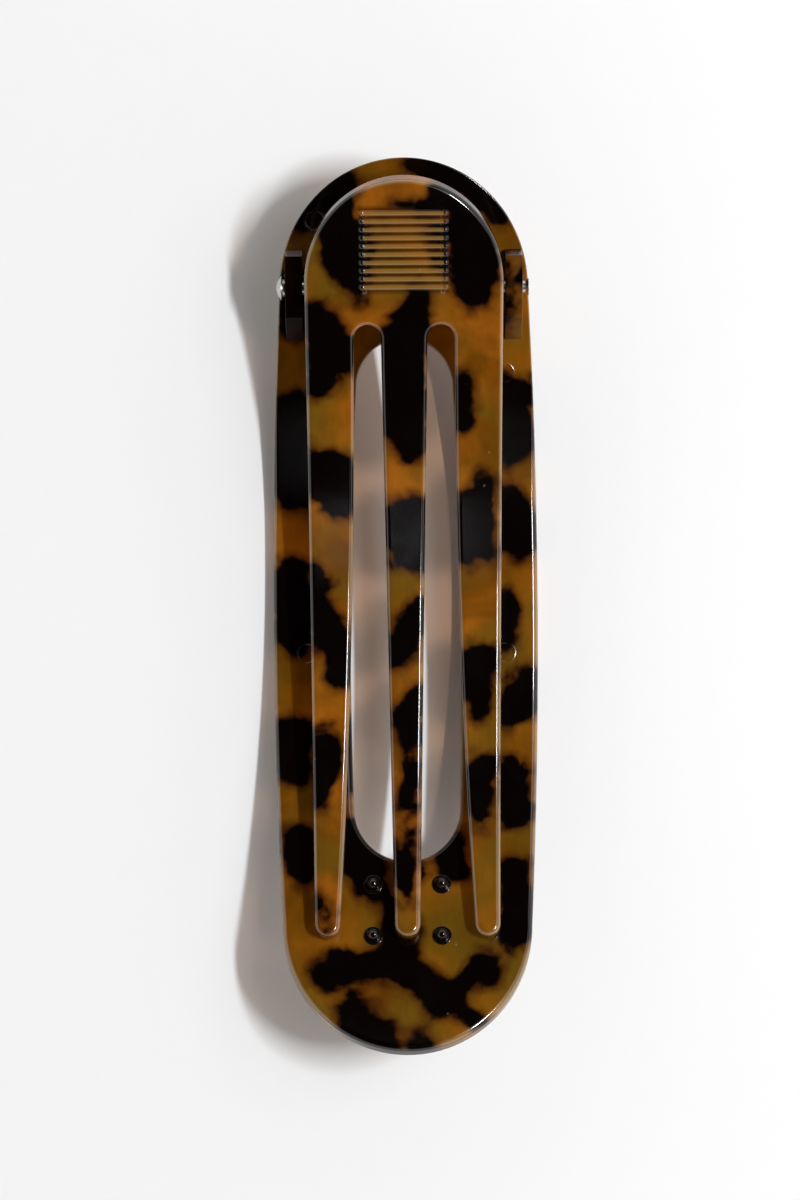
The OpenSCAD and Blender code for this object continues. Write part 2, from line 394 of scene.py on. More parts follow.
LEVER_STAINS = (
    Stain(((-8, 55.6, 1.3), (-9.8, 51.8, 2.4), (-8.4, 48.4, 2.4), (-7.4, 45.4, 1.3), (-6.4, 42.4, 0.5))),
    Stain(((-6.2, 52.4, 1.0), (-5.6, 47, 0.7))),
    Stain(((5, 57, 1.2), (8.8, 55, 2.5), (9.4, 50.6, 3.7), (9.3, 46.4, 3.3), (10.2, 42.8, 1.9))),
    Stain(((-1.6, 55, 0.2), (6, 55.2, 0.7))),
    Stain(((5.4, 51.4, 0.9), (5.6, 47, 0.7))),
    Stain(((1.9, 42.4, 1.7), (0.4, 38, 3.2), (-0.5, 33, 3.5), (-0.4, 26.6, 3.4), (0.2, 23.8, 2.4))),
    Stain(((-11.6, 39.4, 2.6), (-10, 34.6, 3.2), (-12.4, 30.6, 1.3))),
    Stain(((-13, 20.2, 1.9), (-10.4, 18.6, 2.9), (-9.2, 15.4, 2.8))),
    Stain(((-13, 4, 1.5), (-12.2, -0.4, 2.0), (-12, -5, 1.6))),
    Stain(((-10, -4, 1.5), (-9.2, -9.8, 1.9))),
    Stain(((-11.5, -19.8, 2.0), (-11.8, -23.6, 1.5), (-12.2, -27.4, 0.6))),
    Stain(((-11.8, -42, 0.9), (-11.5, -44.8, 0.9))),
    Stain(((1.6, 13.2, 1.9), (-1, 11.2, 2.8), (0.9, 8, 2.9))),
    Stain(((2, -0.6, 1.5), (0.6, -3.6, 1.9), (-1.6, -7.2, 1.5))),
    Stain(((1.2, -13.2, 1.5), (-0.4, -16, 1.6), (1.2, -18.4, 1.6))),
    Stain(((0.6, -23.2, 1.1), (-0.2, -27, 1.7))),
    Stain(((0.4, -31.6, 0.8), (-0.5, -36.6, 1.6), (0.1, -41, 1.0))),
    Stain(((8.4, 30, 1.7), (7.9, 26.8, 1.9))),
    Stain(((11.2, 16.6, 1.5), (9.9, 12.2, 2.6), (8.6, 8.2, 2.5), (11.2, 7.6, 1.9))),
    Stain(((11, -7.2, 1.8), (9.2, -10.6, 2.3), (10.4, -14.4, 1.5))),
    Stain(((11, -22.4, 1.5), (9.8, -26.6, 1.8), (10.4, -30, 0.9))),
)


# --- Shader node groups and finishes ----------------------------------------------------------


class Nodes:
    """Short calls for a shader node tree."""

    def __init__(self, tree: bpy.types.NodeTree) -> None:
        """Keeps the tree that nodes are added to."""
        self.tree = tree

    def add(self, kind: str, links: dict | None = None, **settings: object) -> bpy.types.Node:
        """Adds one node.

        Args:
            kind: The node's type, without the ShaderNode in front.
            links: What each input takes, a socket or a plain value, by name or number.
            **settings: The node's own properties.

        Returns:
            The new node.
        """
        node = self.tree.nodes.new("ShaderNode" + kind)
        for key, value in settings.items():
            setattr(node, key, value)
        self.feed(node, links or {})
        return node

    def feed(self, node: bpy.types.Node, values: dict) -> None:
        """Links sockets to a node's inputs, or sets plain values on them.

        Args:
            node: The node.
            values: What each input takes, by name or number.
        """
        for key, value in values.items():
            if isinstance(value, bpy.types.NodeSocket):
                self.tree.links.new(value, node.inputs[key])
            else:
                node.inputs[key].default_value = value

    def maths(self, operation: str, a: object, b: object = 0.0, clamp: bool = False) -> bpy.types.NodeSocket:
        """Adds a maths node.

        Args:
            operation: Its operation.
            a: First value or socket.
            b: Second value or socket.
            clamp: Whether the result stays between 0 and 1.

        Returns:
            Its output.
        """
        return self.add("Math", {0: a, 1: b}, operation=operation, use_clamp=clamp).outputs[0]

    def ramp(self, value: object, low: object, high: object) -> bpy.types.NodeSocket:
        """Adds a smooth step from 0 to 1.

        Args:
            value: What is tested.
            low: Where the step starts.
            high: Where it ends.

        Returns:
            The step's output.
        """
        links = {"Value": value, "From Min": low, "From Max": high}
        return self.add("MapRange", links, interpolation_type="SMOOTHSTEP").outputs["Result"]

    def noise(
        self, vector: object, scale: object, detail: float = 3.0, rough: float = 0.5
    ) -> bpy.types.NodeSocket:
        """Adds a noise texture.

        Args:
            vector: Where it is read.
            scale: Its scale.
            detail: Its detail.
            rough: Its roughness.

        Returns:
            Its Fac output.
        """
        links = {"Vector": vector, "Scale": scale, "Detail": detail, "Roughness": rough, "Distortion": 0.4}
        return self.add("TexNoise", links).outputs[0]

    def blend(self, factor: object, a: object, b: object) -> bpy.types.NodeSocket:
        """Mixes two colours.

        Args:
            factor: Share of the second.
            a: First colour.
            b: Second colour.

        Returns:
            The mixed colour.
        """
        return self.add("Mix", {0: factor, 6: a, 7: b}, data_type="RGBA").outputs[2]


Sockets = dict[str, tuple[str, object]]
NodePair = tuple[bpy.types.Node, bpy.types.Node]

# Noise layers that make a stain's edge ragged: scale, detail, roughness, and reach in millimetres.
RAG_LAYERS = ((210.0, 2.0, 0.5, 4.8), (620.0, 3.0, 0.6, 0.8), (1900.0, 2.0, 0.5, 0.06))
# Sets of scratches: how far they are turned, how they are stretched, and where their noise starts.
SCRATCH_SETS = ((0.35, 0.035, 0.0), (-0.6, 0.05, 0.4), (1.35, 0.04, 0.9))


def node_group(
    name: str, inputs: Sockets, outputs: dict[str, str]
) -> tuple[bpy.types.NodeTree, Nodes, NodePair]:
    """Starts a shader node group with named sockets.

    Args:
        name: The group's name.
        inputs: Kind and default of each input.
        outputs: Kind of each output.

    Returns:
        The group, its builder, and its input and output nodes.
    """
    tree = bpy.data.node_groups.new(name, "ShaderNodeTree")
    for label, (kind, default) in inputs.items():
        socket = tree.interface.new_socket(label, in_out="INPUT", socket_type="NodeSocket" + kind)
        if default is not None:
            socket.default_value = default
    for label, kind in outputs.items():
        tree.interface.new_socket(label, in_out="OUTPUT", socket_type="NodeSocket" + kind)
    return tree, Nodes(tree), (tree.nodes.new("NodeGroupInput"), tree.nodes.new("NodeGroupOutput"))


def cloud_group() -> bpy.types.NodeTree:
    """Resin clouds: ragged stains in a red-brown halo, warm and olive drifts, and streaks along the sheet.

    Returns:
        The node group.
    """
    inputs = {
        "Vector": ("Vector", None),
        "Depth": ("Float", 0.0),
        "Wobble": ("Float", 1.0),
        "Softness": ("Float", 0.5),
        "Extra": ("Float", 0.0),
    }
    outputs = {k: "Float" for k in ("Stain", "Halo", "Warm", "Olive", "Streak")}
    tree, n, (start, stop) = node_group("resin_clouds", inputs, outputs)
    at, soft = start.outputs["Vector"], start.outputs["Softness"]
    rags = []
    for scale, detail, rough, reach in RAG_LAYERS:
        level = n.maths("SUBTRACT", n.noise(at, scale, detail, rough), 0.5)
        rags.append(n.maths("MULTIPLY", level, reach))
    ragged = n.maths("ADD", n.maths("ADD", rags[0], rags[1]), rags[2])
    depth = n.maths("ADD", start.outputs["Depth"], n.maths("MULTIPLY", ragged, start.outputs["Wobble"]))
    spread = n.ramp(n.noise(at, 130.0, 1.0), 0.62, 0.8)
    depth = n.maths("ADD", depth, n.maths("MULTIPLY", spread, start.outputs["Extra"]))
    moved = n.add("Mapping", {"Vector": at, "Location": (0.31, 0.17, 0.05)}).outputs[0]
    long = n.add("Mapping", {"Vector": at, "Scale": (1.0, 0.08, 1.0)}).outputs[0]
    made = {
        "Stain": n.ramp(depth, n.maths("MULTIPLY", soft, -0.5), n.maths("MULTIPLY", soft, 0.9)),
        "Halo": n.ramp(depth, n.maths("MULTIPLY", soft, -2.6), n.maths("MULTIPLY", soft, 0.5)),
        "Warm": n.ramp(n.noise(at, 95.0, 4.0), 0.34, 0.7),
        "Olive": n.ramp(n.noise(moved, 70.0, 3.0), 0.42, 0.66),
        "Streak": n.maths("SUBTRACT", n.noise(long, 900.0, 2.0), 0.5),
    }
    n.feed(stop, made)
    return tree


def wear_group() -> bpy.types.NodeTree:
    """Handling marks: fine scratches in three directions, smudges, and specks of dust.

    Returns:
        The node group.
    """
    inputs = {"Vector": ("Vector", None), "Scratches": ("Float", 0.5), "Dust": ("Float", 0.5)}
    outputs = {"Height": "Float", "Smudge": "Float", "Dust": "Float"}
    tree, n, (start, stop) = node_group("handling_marks", inputs, outputs)
    at = start.outputs["Vector"]
    lines = []
    for turn, stretch, shift in SCRATCH_SETS:
        settings = {"Rotation": (0, 0, turn), "Scale": (1.0, stretch, 1.0), "Location": (shift, 0, 0)}
        laid = n.add("Mapping", {"Vector": at, **settings}, vector_type="TEXTURE").outputs[0]
        laid = n.add("Mapping", {"Vector": laid, "Scale": (1.0, 0.002, 1.0)}).outputs[0]
        ridge = n.maths("ABSOLUTE", n.maths("SUBTRACT", n.noise(laid, 1500.0, 1.0), 0.5))
        patch = n.ramp(n.noise(at, 160.0 + 70.0 * shift, 1.0), 0.52, 0.64)
        lines.append(n.maths("MULTIPLY", n.ramp(ridge, 0.012, 0.0), patch))
    cut = n.maths("MAXIMUM", lines[0], n.maths("MAXIMUM", lines[1], lines[2]))
    height = n.maths("MULTIPLY", n.maths("MULTIPLY", cut, -1.0), start.outputs["Scratches"])
    smudge = n.ramp(n.noise(at, 180.0, 4.0, 0.65), 0.35, 0.75)
    cells = n.add("TexVoronoi", {"Vector": at, "Scale": 420.0}, feature="F1").outputs["Distance"]
    dust = n.maths("MULTIPLY", n.ramp(cells, 0.085, 0.05), n.ramp(n.noise(at, 300.0, 1.0), 0.6, 0.66))
    dust = n.maths("MULTIPLY", dust, start.outputs["Dust"])
    n.feed(stop, {"Height": height, "Smudge": smudge, "Dust": dust})
    return tree


def edge_group() -> bpy.types.NodeTree:
    """Rolled edges: a painted highlight where light gathers in the rim, and the faint line left where two
    dies met.

    Returns:
        The node group.
    """
    inputs = {"Edge": ("Float", 0.0), "Parting": ("Float", 0.8)}
    tree, n, (start, stop) = node_group("rolled_edges", inputs, {"Rim": "Float", "Parting": "Float"})
    edge = start.outputs["Edge"]
    rim = n.maths("MULTIPLY", n.ramp(edge, 0.15, 0.75), n.ramp(edge, 1.0, 0.85))
    off = n.maths("ABSOLUTE", n.maths("SUBTRACT", edge, start.outputs["Parting"]))
    n.feed(stop, {"Rim": rim, "Parting": n.ramp(off, 0.12, 0.02)})
    return tree


Colour = tuple[float, float, float]


def rgba(colour: Colour) -> tuple[float, float, float, float]:
    """Adds a full alpha to a colour."""
    return (*colour, 1.0)


@dataclass(frozen=True)
class Groups:
    """The shared shader groups."""

    clouds: bpy.types.NodeTree
    wear: bpy.types.NodeTree
    edges: bpy.types.NodeTree


def new_material(name: str) -> tuple[bpy.types.Material, Nodes, bpy.types.Node]:
    """Starts a material.

    Args:
        name: Its name.

    Returns:
        The material, its builder, and its Principled BSDF.
    """
    mat = bpy.data.materials.new(name)
    mat.use_nodes = True
    return mat, Nodes(mat.node_tree), mat.node_tree.nodes["Principled BSDF"]


@dataclass(frozen=True)
class ResinFinish:
    """Polished tortoiseshell resin."""

    name: str
    amber: Colour = (0.125, 0.041, 0.002)
    honey: Colour = (0.33, 0.098, 0.006)
    olive: Colour = (0.12, 0.066, 0.005)
    olive_share: float = 0.75
    grain_share: float = 0.35
    halo: Colour = (0.04, 0.008, 0.002)
    halo_share: float = 0.8
    dark: Colour = (0.0022, 0.0009, 0.0008)
    # Painted highlight that lightens the rolled edges.
    rim: Colour = (0.42, 0.31, 0.17)
    rim_highlight_share: float = 0.3
    # Painted highlight on the rib crests, and painted shade between the ribs.
    crest_highlight: Colour = (0.25, 0.13, 0.03)
    crest_highlight_share: float = 0.72
    rib_shade_share: float = 0.68
    parting_share: float = 0.6
    dust_colour: Colour = (0.5, 0.42, 0.34)
    dust_share: float = 0.35
    grow: float = 0.4
    glow: Colour = (0.0, 0.0, 0.0)
    glow_loss: float = 0.4
    wobble: float = 1.0
    softness: float = 0.6
    extra: float = 0.0
    roughness: float = 0.09
    smudge_rough: float = 0.07
    dust_rough: float = 0.4
    ior: float = 1.48
    specular: float = 0.5
    coat: float = 0.15
    coat_rough: float = 0.04
    scratches: float = 0.5
    scratch_depth: float = 0.00001
    dust: float = 0.35

    def make(self, groups: Groups) -> bpy.types.Material:
        """Builds the material.

        Args:
            groups: The shared shader groups.

        Returns:
            The material.
        """
        mat, n, shader = new_material(self.name)
        at = n.add("TexCoord").outputs["Object"]
        stain_at, rib_shading, edge = (
            n.add("Attribute", attribute_name=label).outputs["Fac"]
            for label in ("stain_depth", "rib_shading", "edge")
        )
        pattern = {
            "Vector": at,
            "Depth": n.maths("ADD", stain_at, self.grow),
            "Wobble": self.wobble,
            "Softness": self.softness,
            "Extra": self.extra,
        }
        marks = {"Vector": at, "Scratches": self.scratches, "Dust": self.dust}
        clouds = n.add("Group", pattern, node_tree=groups.clouds).outputs
        wear = n.add("Group", marks, node_tree=groups.wear).outputs
        rims = n.add("Group", {"Edge": edge}, node_tree=groups.edges).outputs
        base = n.blend(clouds["Warm"], rgba(self.amber), rgba(self.honey))
        base = n.blend(n.maths("MULTIPLY", clouds["Olive"], self.olive_share), base, rgba(self.olive))
        grain = n.maths("ADD", 1.0, n.maths("MULTIPLY", clouds["Streak"], self.grain_share))
        base = n.add("VectorMath", {0: base, "Scale": grain}, operation="SCALE").outputs[0]
        crest_highlights = n.maths("MAXIMUM", n.maths("MULTIPLY", rib_shading, -1.0), 0.0)
        for share, colour in (
            # Painted highlight on the rolled edges.
            (n.maths("MULTIPLY", rims["Rim"], self.rim_highlight_share), self.rim),
            (n.maths("MULTIPLY", clouds["Halo"], self.halo_share), self.halo),
            (clouds["Stain"], self.dark),
            # Painted highlight on the rib crests, then painted shade between the ribs.
            (n.maths("MULTIPLY", crest_highlights, self.crest_highlight_share), self.crest_highlight),
            (n.maths("MULTIPLY", rib_shading, self.rib_shade_share, True), self.dark),
            (n.maths("MULTIPLY", rims["Parting"], self.parting_share), self.dark),
            (n.maths("MULTIPLY", wear["Dust"], self.dust_share), self.dust_colour),
        ):
            base = n.blend(share, base, rgba(colour))
        rough = n.maths("ADD", self.roughness, n.maths("MULTIPLY", wear["Smudge"], self.smudge_rough))
        rough = n.maths("ADD", rough, n.maths("MULTIPLY", wear["Dust"], self.dust_rough))
        bump = n.add("Bump", {"Height": wear["Height"], "Strength": 0.25, "Distance": self.scratch_depth})
        n.feed(shader, {"Base Color": base, "Roughness": rough, "Normal": bump.outputs[0], "IOR": self.ior})
        n.feed(shader, {"Specular IOR Level": self.specular, "Coat Weight": self.coat})
        n.feed(shader, {"Coat Roughness": self.coat_rough})
        if any(self.glow):
            loss = n.maths("MULTIPLY", clouds["Halo"], self.glow_loss)
            through = n.add("BsdfTransparent", {"Color": n.blend(loss, rgba(self.glow), (0, 0, 0, 1))})
            is_shadow = n.add("LightPath").outputs["Is Shadow Ray"]
            either = n.add("MixShader", {0: is_shadow, 1: shader.outputs[0], 2: through.outputs[0]})
            n.feed(mat.node_tree.nodes["Material Output"], {"Surface": either.outputs[0]})
        return mat


@dataclass(frozen=True)
class SteelFinish:
    """Bright steel, with handling marks and a darker bloom."""

    name: str
    bright: Colour = (0.62, 0.61, 0.60)
    bloom: Colour = (0.30, 0.29, 0.28)
    bloom_share: float = 0.5
    roughness: float = 0.27
    smudge_rough: float = 0.14
    scratches: float = 0.8
    scratch_depth: float = 0.00002
    dust: float = 0.2

    def make(self, groups: Groups) -> bpy.types.Material:
        """Builds the material.

        Args:
            groups: The shared shader groups.

        Returns:
            The material.
        """
        mat, n, shader = new_material(self.name)
        at = n.add("TexCoord").outputs["Object"]
        marks = {"Vector": at, "Scratches": self.scratches, "Dust": self.dust}
        wear = n.add("Group", marks, node_tree=groups.wear).outputs
        share = n.maths("MULTIPLY", wear["Smudge"], self.bloom_share)
        rough = n.maths("ADD", self.roughness, n.maths("MULTIPLY", wear["Smudge"], self.smudge_rough))
        bump = n.add("Bump", {"Height": wear["Height"], "Strength": 0.3, "Distance": self.scratch_depth})
        base = n.blend(share, rgba(self.bright), rgba(self.bloom))
        n.feed(shader, {"Base Color": base, "Roughness": rough, "Normal": bump.outputs[0], "Metallic": 1.0})
        return mat


@dataclass(frozen=True)
class PaperFinish:
    """Pale matt paper for the floor."""

    name: str
    white: Colour = (0.90, 0.90, 0.90)
    shade: Colour = (0.895, 0.895, 0.895)
    roughness: float = 0.8
    specular: float = 0.1

    def make(self, groups: Groups) -> bpy.types.Material:
        """Builds the material.

        Args:
            groups: The shared shader groups.

        Returns:
            The material.
        """
        mat, n, shader = new_material(self.name)
        at = n.add("TexCoord").outputs["Object"]
        wear = n.add("Group", {"Vector": at}, node_tree=groups.wear).outputs
        base = n.blend(wear["Smudge"], rgba(self.white), rgba(self.shade))
        n.feed(shader, {"Base Color": base, "Roughness": self.roughness, "Specular IOR Level": self.specular})
        return mat


@dataclass(frozen=True)
class Finishes:
    """Every material of the clip, made once."""

    plate: bpy.types.Material
    lever: bpy.types.Material
    ear_dark: bpy.types.Material
    ear_brown: bpy.types.Material
    stud: bpy.types.Material
    pin: bpy.types.Material
    spring: bpy.types.Material
    floor: bpy.types.Material


def make_finishes() -> Finishes:
    """Builds the shader groups and every finish.

    Returns:
        The finishes.
    """
    groups = Groups(cloud_group(), wear_group(), edge_group())
    block = ResinFinish(
        # The ears' rim colour is a painted sheen on their thumb-end faces.
        "block_resin", extra=5.0, rim=(0.36, 0.31, 0.33), rim_highlight_share=0.75, specular=0.08, coat=0.0,
    )
    brown = replace(
        block, name="ear_brown_resin", wobble=3.6, softness=1.6, grow=2.7,
        amber=(0.055, 0.018, 0.003), honey=(0.22, 0.09, 0.012), olive=(0.03, 0.012, 0.002),
    )
    black = replace(
        block, name="ear_black_resin", wobble=1.6, softness=0.8,
        amber=(0.006, 0.002, 0.001), honey=(0.014, 0.004, 0.002), olive=(0.004, 0.002, 0.001),
    )
    stud = ResinFinish(
        "stud_resin", roughness=0.05,
        amber=(0.004, 0.002, 0.001), honey=(0.007, 0.003, 0.002), olive=(0.003, 0.002, 0.001),
    )
    plate = ResinFinish(
        "plate_resin", glow=(0.36, 0.26, 0.20), rim_highlight_share=0.55,
        amber=(0.11, 0.039, 0.002), honey=(0.24, 0.082, 0.004),
    )
    lever = ResinFinish("lever_resin", glow=(0.60, 0.45, 0.34), rim_highlight_share=0.6)
    return Finishes(
        plate=plate.make(groups),
        lever=lever.make(groups),
        ear_dark=black.make(groups),
        ear_brown=brown.make(groups),
        stud=stud.make(groups),
        pin=SteelFinish("pin_bright_steel").make(groups),
        spring=SteelFinish("spring_wire_steel", bright=(0.5, 0.5, 0.5), roughness=0.22).make(groups),
        floor=PaperFinish("pale_paper").make(groups),
    )


# --- Mesh builders ----------------------------------------------------------------------------


def new_piece(
    name: str,
    points: np.ndarray,
    faces: list,
    material: bpy.types.Material,
    marks: dict[str, np.ndarray] | None = None,
    normals: np.ndarray | None = None,
) -> bpy.types.Object:
    """Makes a mesh object from points in millimetres.

    Args:
        name: The piece's name.
        points: Rows of x, y and z as the clip lies.
        faces: Lists of point numbers.
        material: Its finish.
        marks: Values for each point, by attribute name.
        normals: Exact normals for each point.

    Returns:
        The object.
    """
    mesh = bpy.data.meshes.new(name)
    mesh.from_pydata((points * MM).tolist(), [], [list(map(int, f)) for f in faces])
    mesh.validate()
    for label, unset in (("stain_depth", -DEEPEST), ("edge", 0.0), ("rib_shading", 0.0)):
        values = np.full(len(mesh.vertices), unset)
        values[:] = (marks or {}).get(label, unset)
        mesh.attributes.new(label, "FLOAT", "POINT").data.foreach_set("value", values.astype(np.float32))
    for polygon in mesh.polygons:
        polygon.use_smooth = True
    if normals is not None:
        mesh.normals_split_custom_set_from_vertices([tuple(v) for v in normals])
    mesh.materials.append(material)
    piece = bpy.data.objects.new(name, mesh)
    bpy.context.scene.collection.objects.link(piece)
    return piece


@dataclass
class BentSheet:
    """A flat sheet with rolled edges, cut to closed outlines and bent to a bow."""

    bow: Bow
    rest: Rest
    outlines: list[np.ndarray]
    roll_top: float
    roll_low: float
    grid: float = 0.9
    turns: int = 6
    # Painted shade between the ribs and painted highlight on their crests, given over the upper face.
    relief: Height | None = None
    rib_shading: Height | None = None
    relief_points: np.ndarray = field(default_factory=lambda: np.zeros((0, 2)))
    relief_room: float = 0.25
    slope_step: float = 0.02
    upright: float = 0.0
    fine_end: float = 1.0

    def rings(self) -> list[tuple[float, float, float]]:
        """The rolled edge's section, from the lower face to the upper one.

        Returns:
            For each ring its inset, its height, and the tilt of its normal above the sheet in radians.
        """
        quarter = np.linspace(0, math.pi / 2, self.turns + 1)
        low = [
            (self.roll_low * (1 - math.cos(b)), self.roll_low * (1 - math.sin(b)), -b)
            for b in quarter[::-1]
        ]
        rise = self.bow.thick - self.roll_top
        top = [(self.roll_top * (1 - math.cos(b)), rise + self.roll_top * math.sin(b), b) for b in quarter]
        return low + top

    def fill(self, loops: list[np.ndarray], extra: np.ndarray) -> tuple[np.ndarray, np.ndarray]:
        """Fills the space between loops with an even net of triangles.

        Args:
            loops: The innermost rings of the rolled edge.
            extra: Points that the net has to pass through.

        Returns:
            All its points, the loops' own first, and its triangles.
        """
        ring = np.vstack(loops)
        low, high = ring.min(0), ring.max(0)
        rows = np.arange(low[1], high[1], self.grid * math.sqrt(3) / 2)
        columns = np.arange(low[0], high[0], self.grid)
        net = np.array([(x + (k % 2) * self.grid / 2, y) for k, y in enumerate(rows) for x in columns])
        net = net[inside(net, loops)]
        net = net[nearest(net, ring) > 0.55 * self.grid]
        if len(extra):
            net = net[nearest(net, extra) > self.relief_room]
        points = np.vstack([ring, extra, net])
        edges, start = [], 0
        for loop in loops:
            count = len(loop)
            edges += [(start + k, start + (k + 1) % count) for k in range(count)]
            start += count
        found = delaunay_2d_cdt([Vector(p) for p in points], edges, [], 0, 1e-7)
        source = [ids[0] if ids else -1 for ids in found[3]]
        faces = np.array([[source[v] for v in f] for f in found[2] if len(f) == 3])
        faces = faces[(faces >= 0).all(1)]
        middle = points[faces].mean(1)
        faces = faces[inside(middle, loops)]
        return points, faces

    def build(self, name: str, stains: tuple[Stain, ...], material: bpy.types.Material) -> bpy.types.Object:
        """Makes the sheet.

        Args:
            name: The piece's name.
            stains: Its dark patches, where they lie on the clip seen from above.
            material: Its finish.

        Returns:
            The object.
        """
        section = self.rings()
        flat, height, normal, edge, faces = [], [], [], [], []
        starts, count = [], 0
        for outline in self.outlines:
            out = outward(outline)
            number = len(outline)
            starts.append(count)
            crisp = 1 - (1 - self.fine_end) * np.clip(outline[:, 1] / 15 - 1, 0, 1)
            for k, (inset, h, tilt) in enumerate(section):
                share = crisp if k > self.turns else np.ones(number)
                flat.append(outline - out * inset * share[:, None])
                height.append(self.bow.thick - (self.bow.thick - h) * share)
                side = out * math.cos(tilt)
                normal.append(np.column_stack([side, np.full(number, math.sin(tilt))]))
                edge.append(np.full(number, self.edge_value(tilt)))
            after = np.roll(np.arange(number), -1)
            for k in range(len(section) - 1):
                a, b = count + k * number, count + (k + 1) * number
                faces += [(a + i, a + j, b + j, b + i) for i, j in zip(range(number), after)]
            count += number * len(section)
        flat, height = np.vstack(flat), np.concatenate(height)
        normal, edge = np.vstack(normal), np.concatenate(edge)
        for top in (False, True):
            ring = len(section) - 1 if top else 0
            numbers = [starts[i] + ring * len(o) + np.arange(len(o)) for i, o in enumerate(self.outlines)]
            extra = self.relief_points if top else np.zeros((0, 2))
            points, triangles = self.fill([flat[k] for k in numbers], extra)
            border = np.concatenate(numbers)
            inner = points[len(border):]
            ids = np.concatenate([border, len(flat) + np.arange(len(inner))])
            flat = np.vstack([flat, inner])
            height = np.append(height, np.full(len(inner), self.bow.thick if top else 0.0))
            normal = np.vstack([normal, np.tile([0, 0, 1.0 if top else -1.0], (len(inner), 1))])
            edge = np.append(edge, np.zeros(len(inner)))
            order = triangles if top else triangles[:, ::-1]
            faces += [tuple(ids[t]) for t in order]
            if top and self.relief is not None:
                height, normal = self.raise_relief(flat, height, normal, len(flat) - len(inner))
        lean = self.lean(flat[:, 1])
        flat[:, 1] -= (self.bow.thick - height) * lean * (height < self.bow.thick)
        normal[:, 2] -= normal[:, 1] * lean
        normal /= np.linalg.norm(normal, axis=1)[:, None]
        level = self.bow.bend(flat[:, 0], flat[:, 1], height)
        placed = self.rest.place(level)
        turned = self.rest.turn(self.bow.bend_normals(flat[:, 1], normal))
        marks = {"stain_depth": stain_depth(stains, placed[:, 0], placed[:, 1]), "edge": edge}
        # Painted shade and highlight of the ribs, kept to the upper face.
        if self.rib_shading is not None:
            marks["rib_shading"] = np.where(normal[:, 2] > 0, self.rib_shading(flat[:, 0], flat[:, 1]), 0.0)
        return new_piece(name, placed, faces, material, marks, turned)

    def lean(self, s: np.ndarray) -> np.ndarray:
        """How far the thumb end's wall leans in below, for each millimetre down.

        Args:
            s: Flat lengths along the sheet.

        Returns:
            The lean, which keeps the wall upright where the sheet slopes.
        """
        share = np.clip(s / 40, 0, 1)
        return self.upright * share * np.tan(s / self.bow.mid_r)

    def edge_value(self, tilt: float) -> float:
        """Place on the rolled edge: 0 on the upper face, 1 on the wall, 2 on the lower face."""
        return 1 - tilt / (math.pi / 2)

    def raise_relief(
        self, flat: np.ndarray, height: np.ndarray, normal: np.ndarray, first: int
    ) -> tuple[np.ndarray, np.ndarray]:
        """Lifts or sinks the upper face's points by the relief, and tips their normals.

        Args:
            flat: Every flat point.
            height: Every height.
            normal: Every flat normal.
            first: Number of the first point inside the upper face.

        Returns:
            The new heights and normals.
        """
        x, s = flat[first:, 0], flat[first:, 1]
        d = self.slope_step
        height, normal = height.copy(), normal.copy()
        height[first:] += self.relief(x, s)
        slope_x = (self.relief(x + d, s) - self.relief(x - d, s)) / (2 * d)
        slope_s = (self.relief(x, s + d) - self.relief(x, s - d)) / (2 * d)
        tipped = np.stack([-slope_x, -slope_s, np.ones_like(x)], 1)
        normal[first:] = tipped / np.linalg.norm(tipped, axis=1)[:, None]
        return height, normal


@dataclass
class Prism:
    """A block cut from a side profile, with its edges eased and a painted sheen on its end face beyond a
    given place.
    """

    profile: np.ndarray
    x_range: tuple[float, float]
    ease: float = 0.3
    steps: int = 4
    sharp_deg: float = 24.0
    # Painted sheen: faces beyond this place along the hinge's frame get the rim highlight colour.
    end_sheen_from: float = 99.0
    end_sheen: float = 0.78

    def build(self, name: str, seat: PinSeat, material: bpy.types.Material) -> bpy.types.Object:
        """Makes the block.

        Args:
            name: The piece's name.
            seat: The hinge's frame, which the profile is drawn in.
            material: Its finish.

        Returns:
            The object.
        """
        count = len(self.profile)
        low, high = self.x_range
        sides = [np.column_stack([np.full(count, x), self.profile]) for x in (low, high)]
        points = seat.place(np.vstack(sides))
        faces = [tuple(range(count))[::-1], tuple(range(count, 2 * count))]
        faces += [(k, (k + 1) % count, count + (k + 1) % count, count + k) for k in range(count)]
        piece = new_piece(name, points, faces, material)
        work = bmesh.new()
        work.from_mesh(piece.data)
        bmesh.ops.recalc_face_normals(work, faces=work.faces)
        sharp = [e for e in work.edges if e.calc_face_angle(0) > math.radians(self.sharp_deg)]
        eased = {"offset": self.ease * MM, "segments": self.steps, "profile": 0.5}
        bmesh.ops.bevel(work, geom=sharp, affect="EDGES", clamp_overlap=True, **eased)
        work.to_mesh(piece.data)
        work.free()
        for polygon in piece.data.polygons:
            polygon.use_smooth = True
        places = np.zeros(len(piece.data.vertices) * 3, np.float32)
        piece.data.vertices.foreach_get("co", places)
        along = seat.back(places.reshape(-1, 3) / MM)[:, 1]
        # Marks the end face for the painted sheen.
        on_sheen_end = along > self.end_sheen_from - 0.02
        for label, values in (("stain_depth", np.full(len(along), -DEEPEST)), ("edge", self.end_sheen * on_sheen_end)):
            piece.data.attributes[label].data.foreach_set("value", values.astype(np.float32))
        weighted = piece.modifiers.new("weighted", "WEIGHTED_NORMAL")
        weighted.keep_sharp = False
        return piece


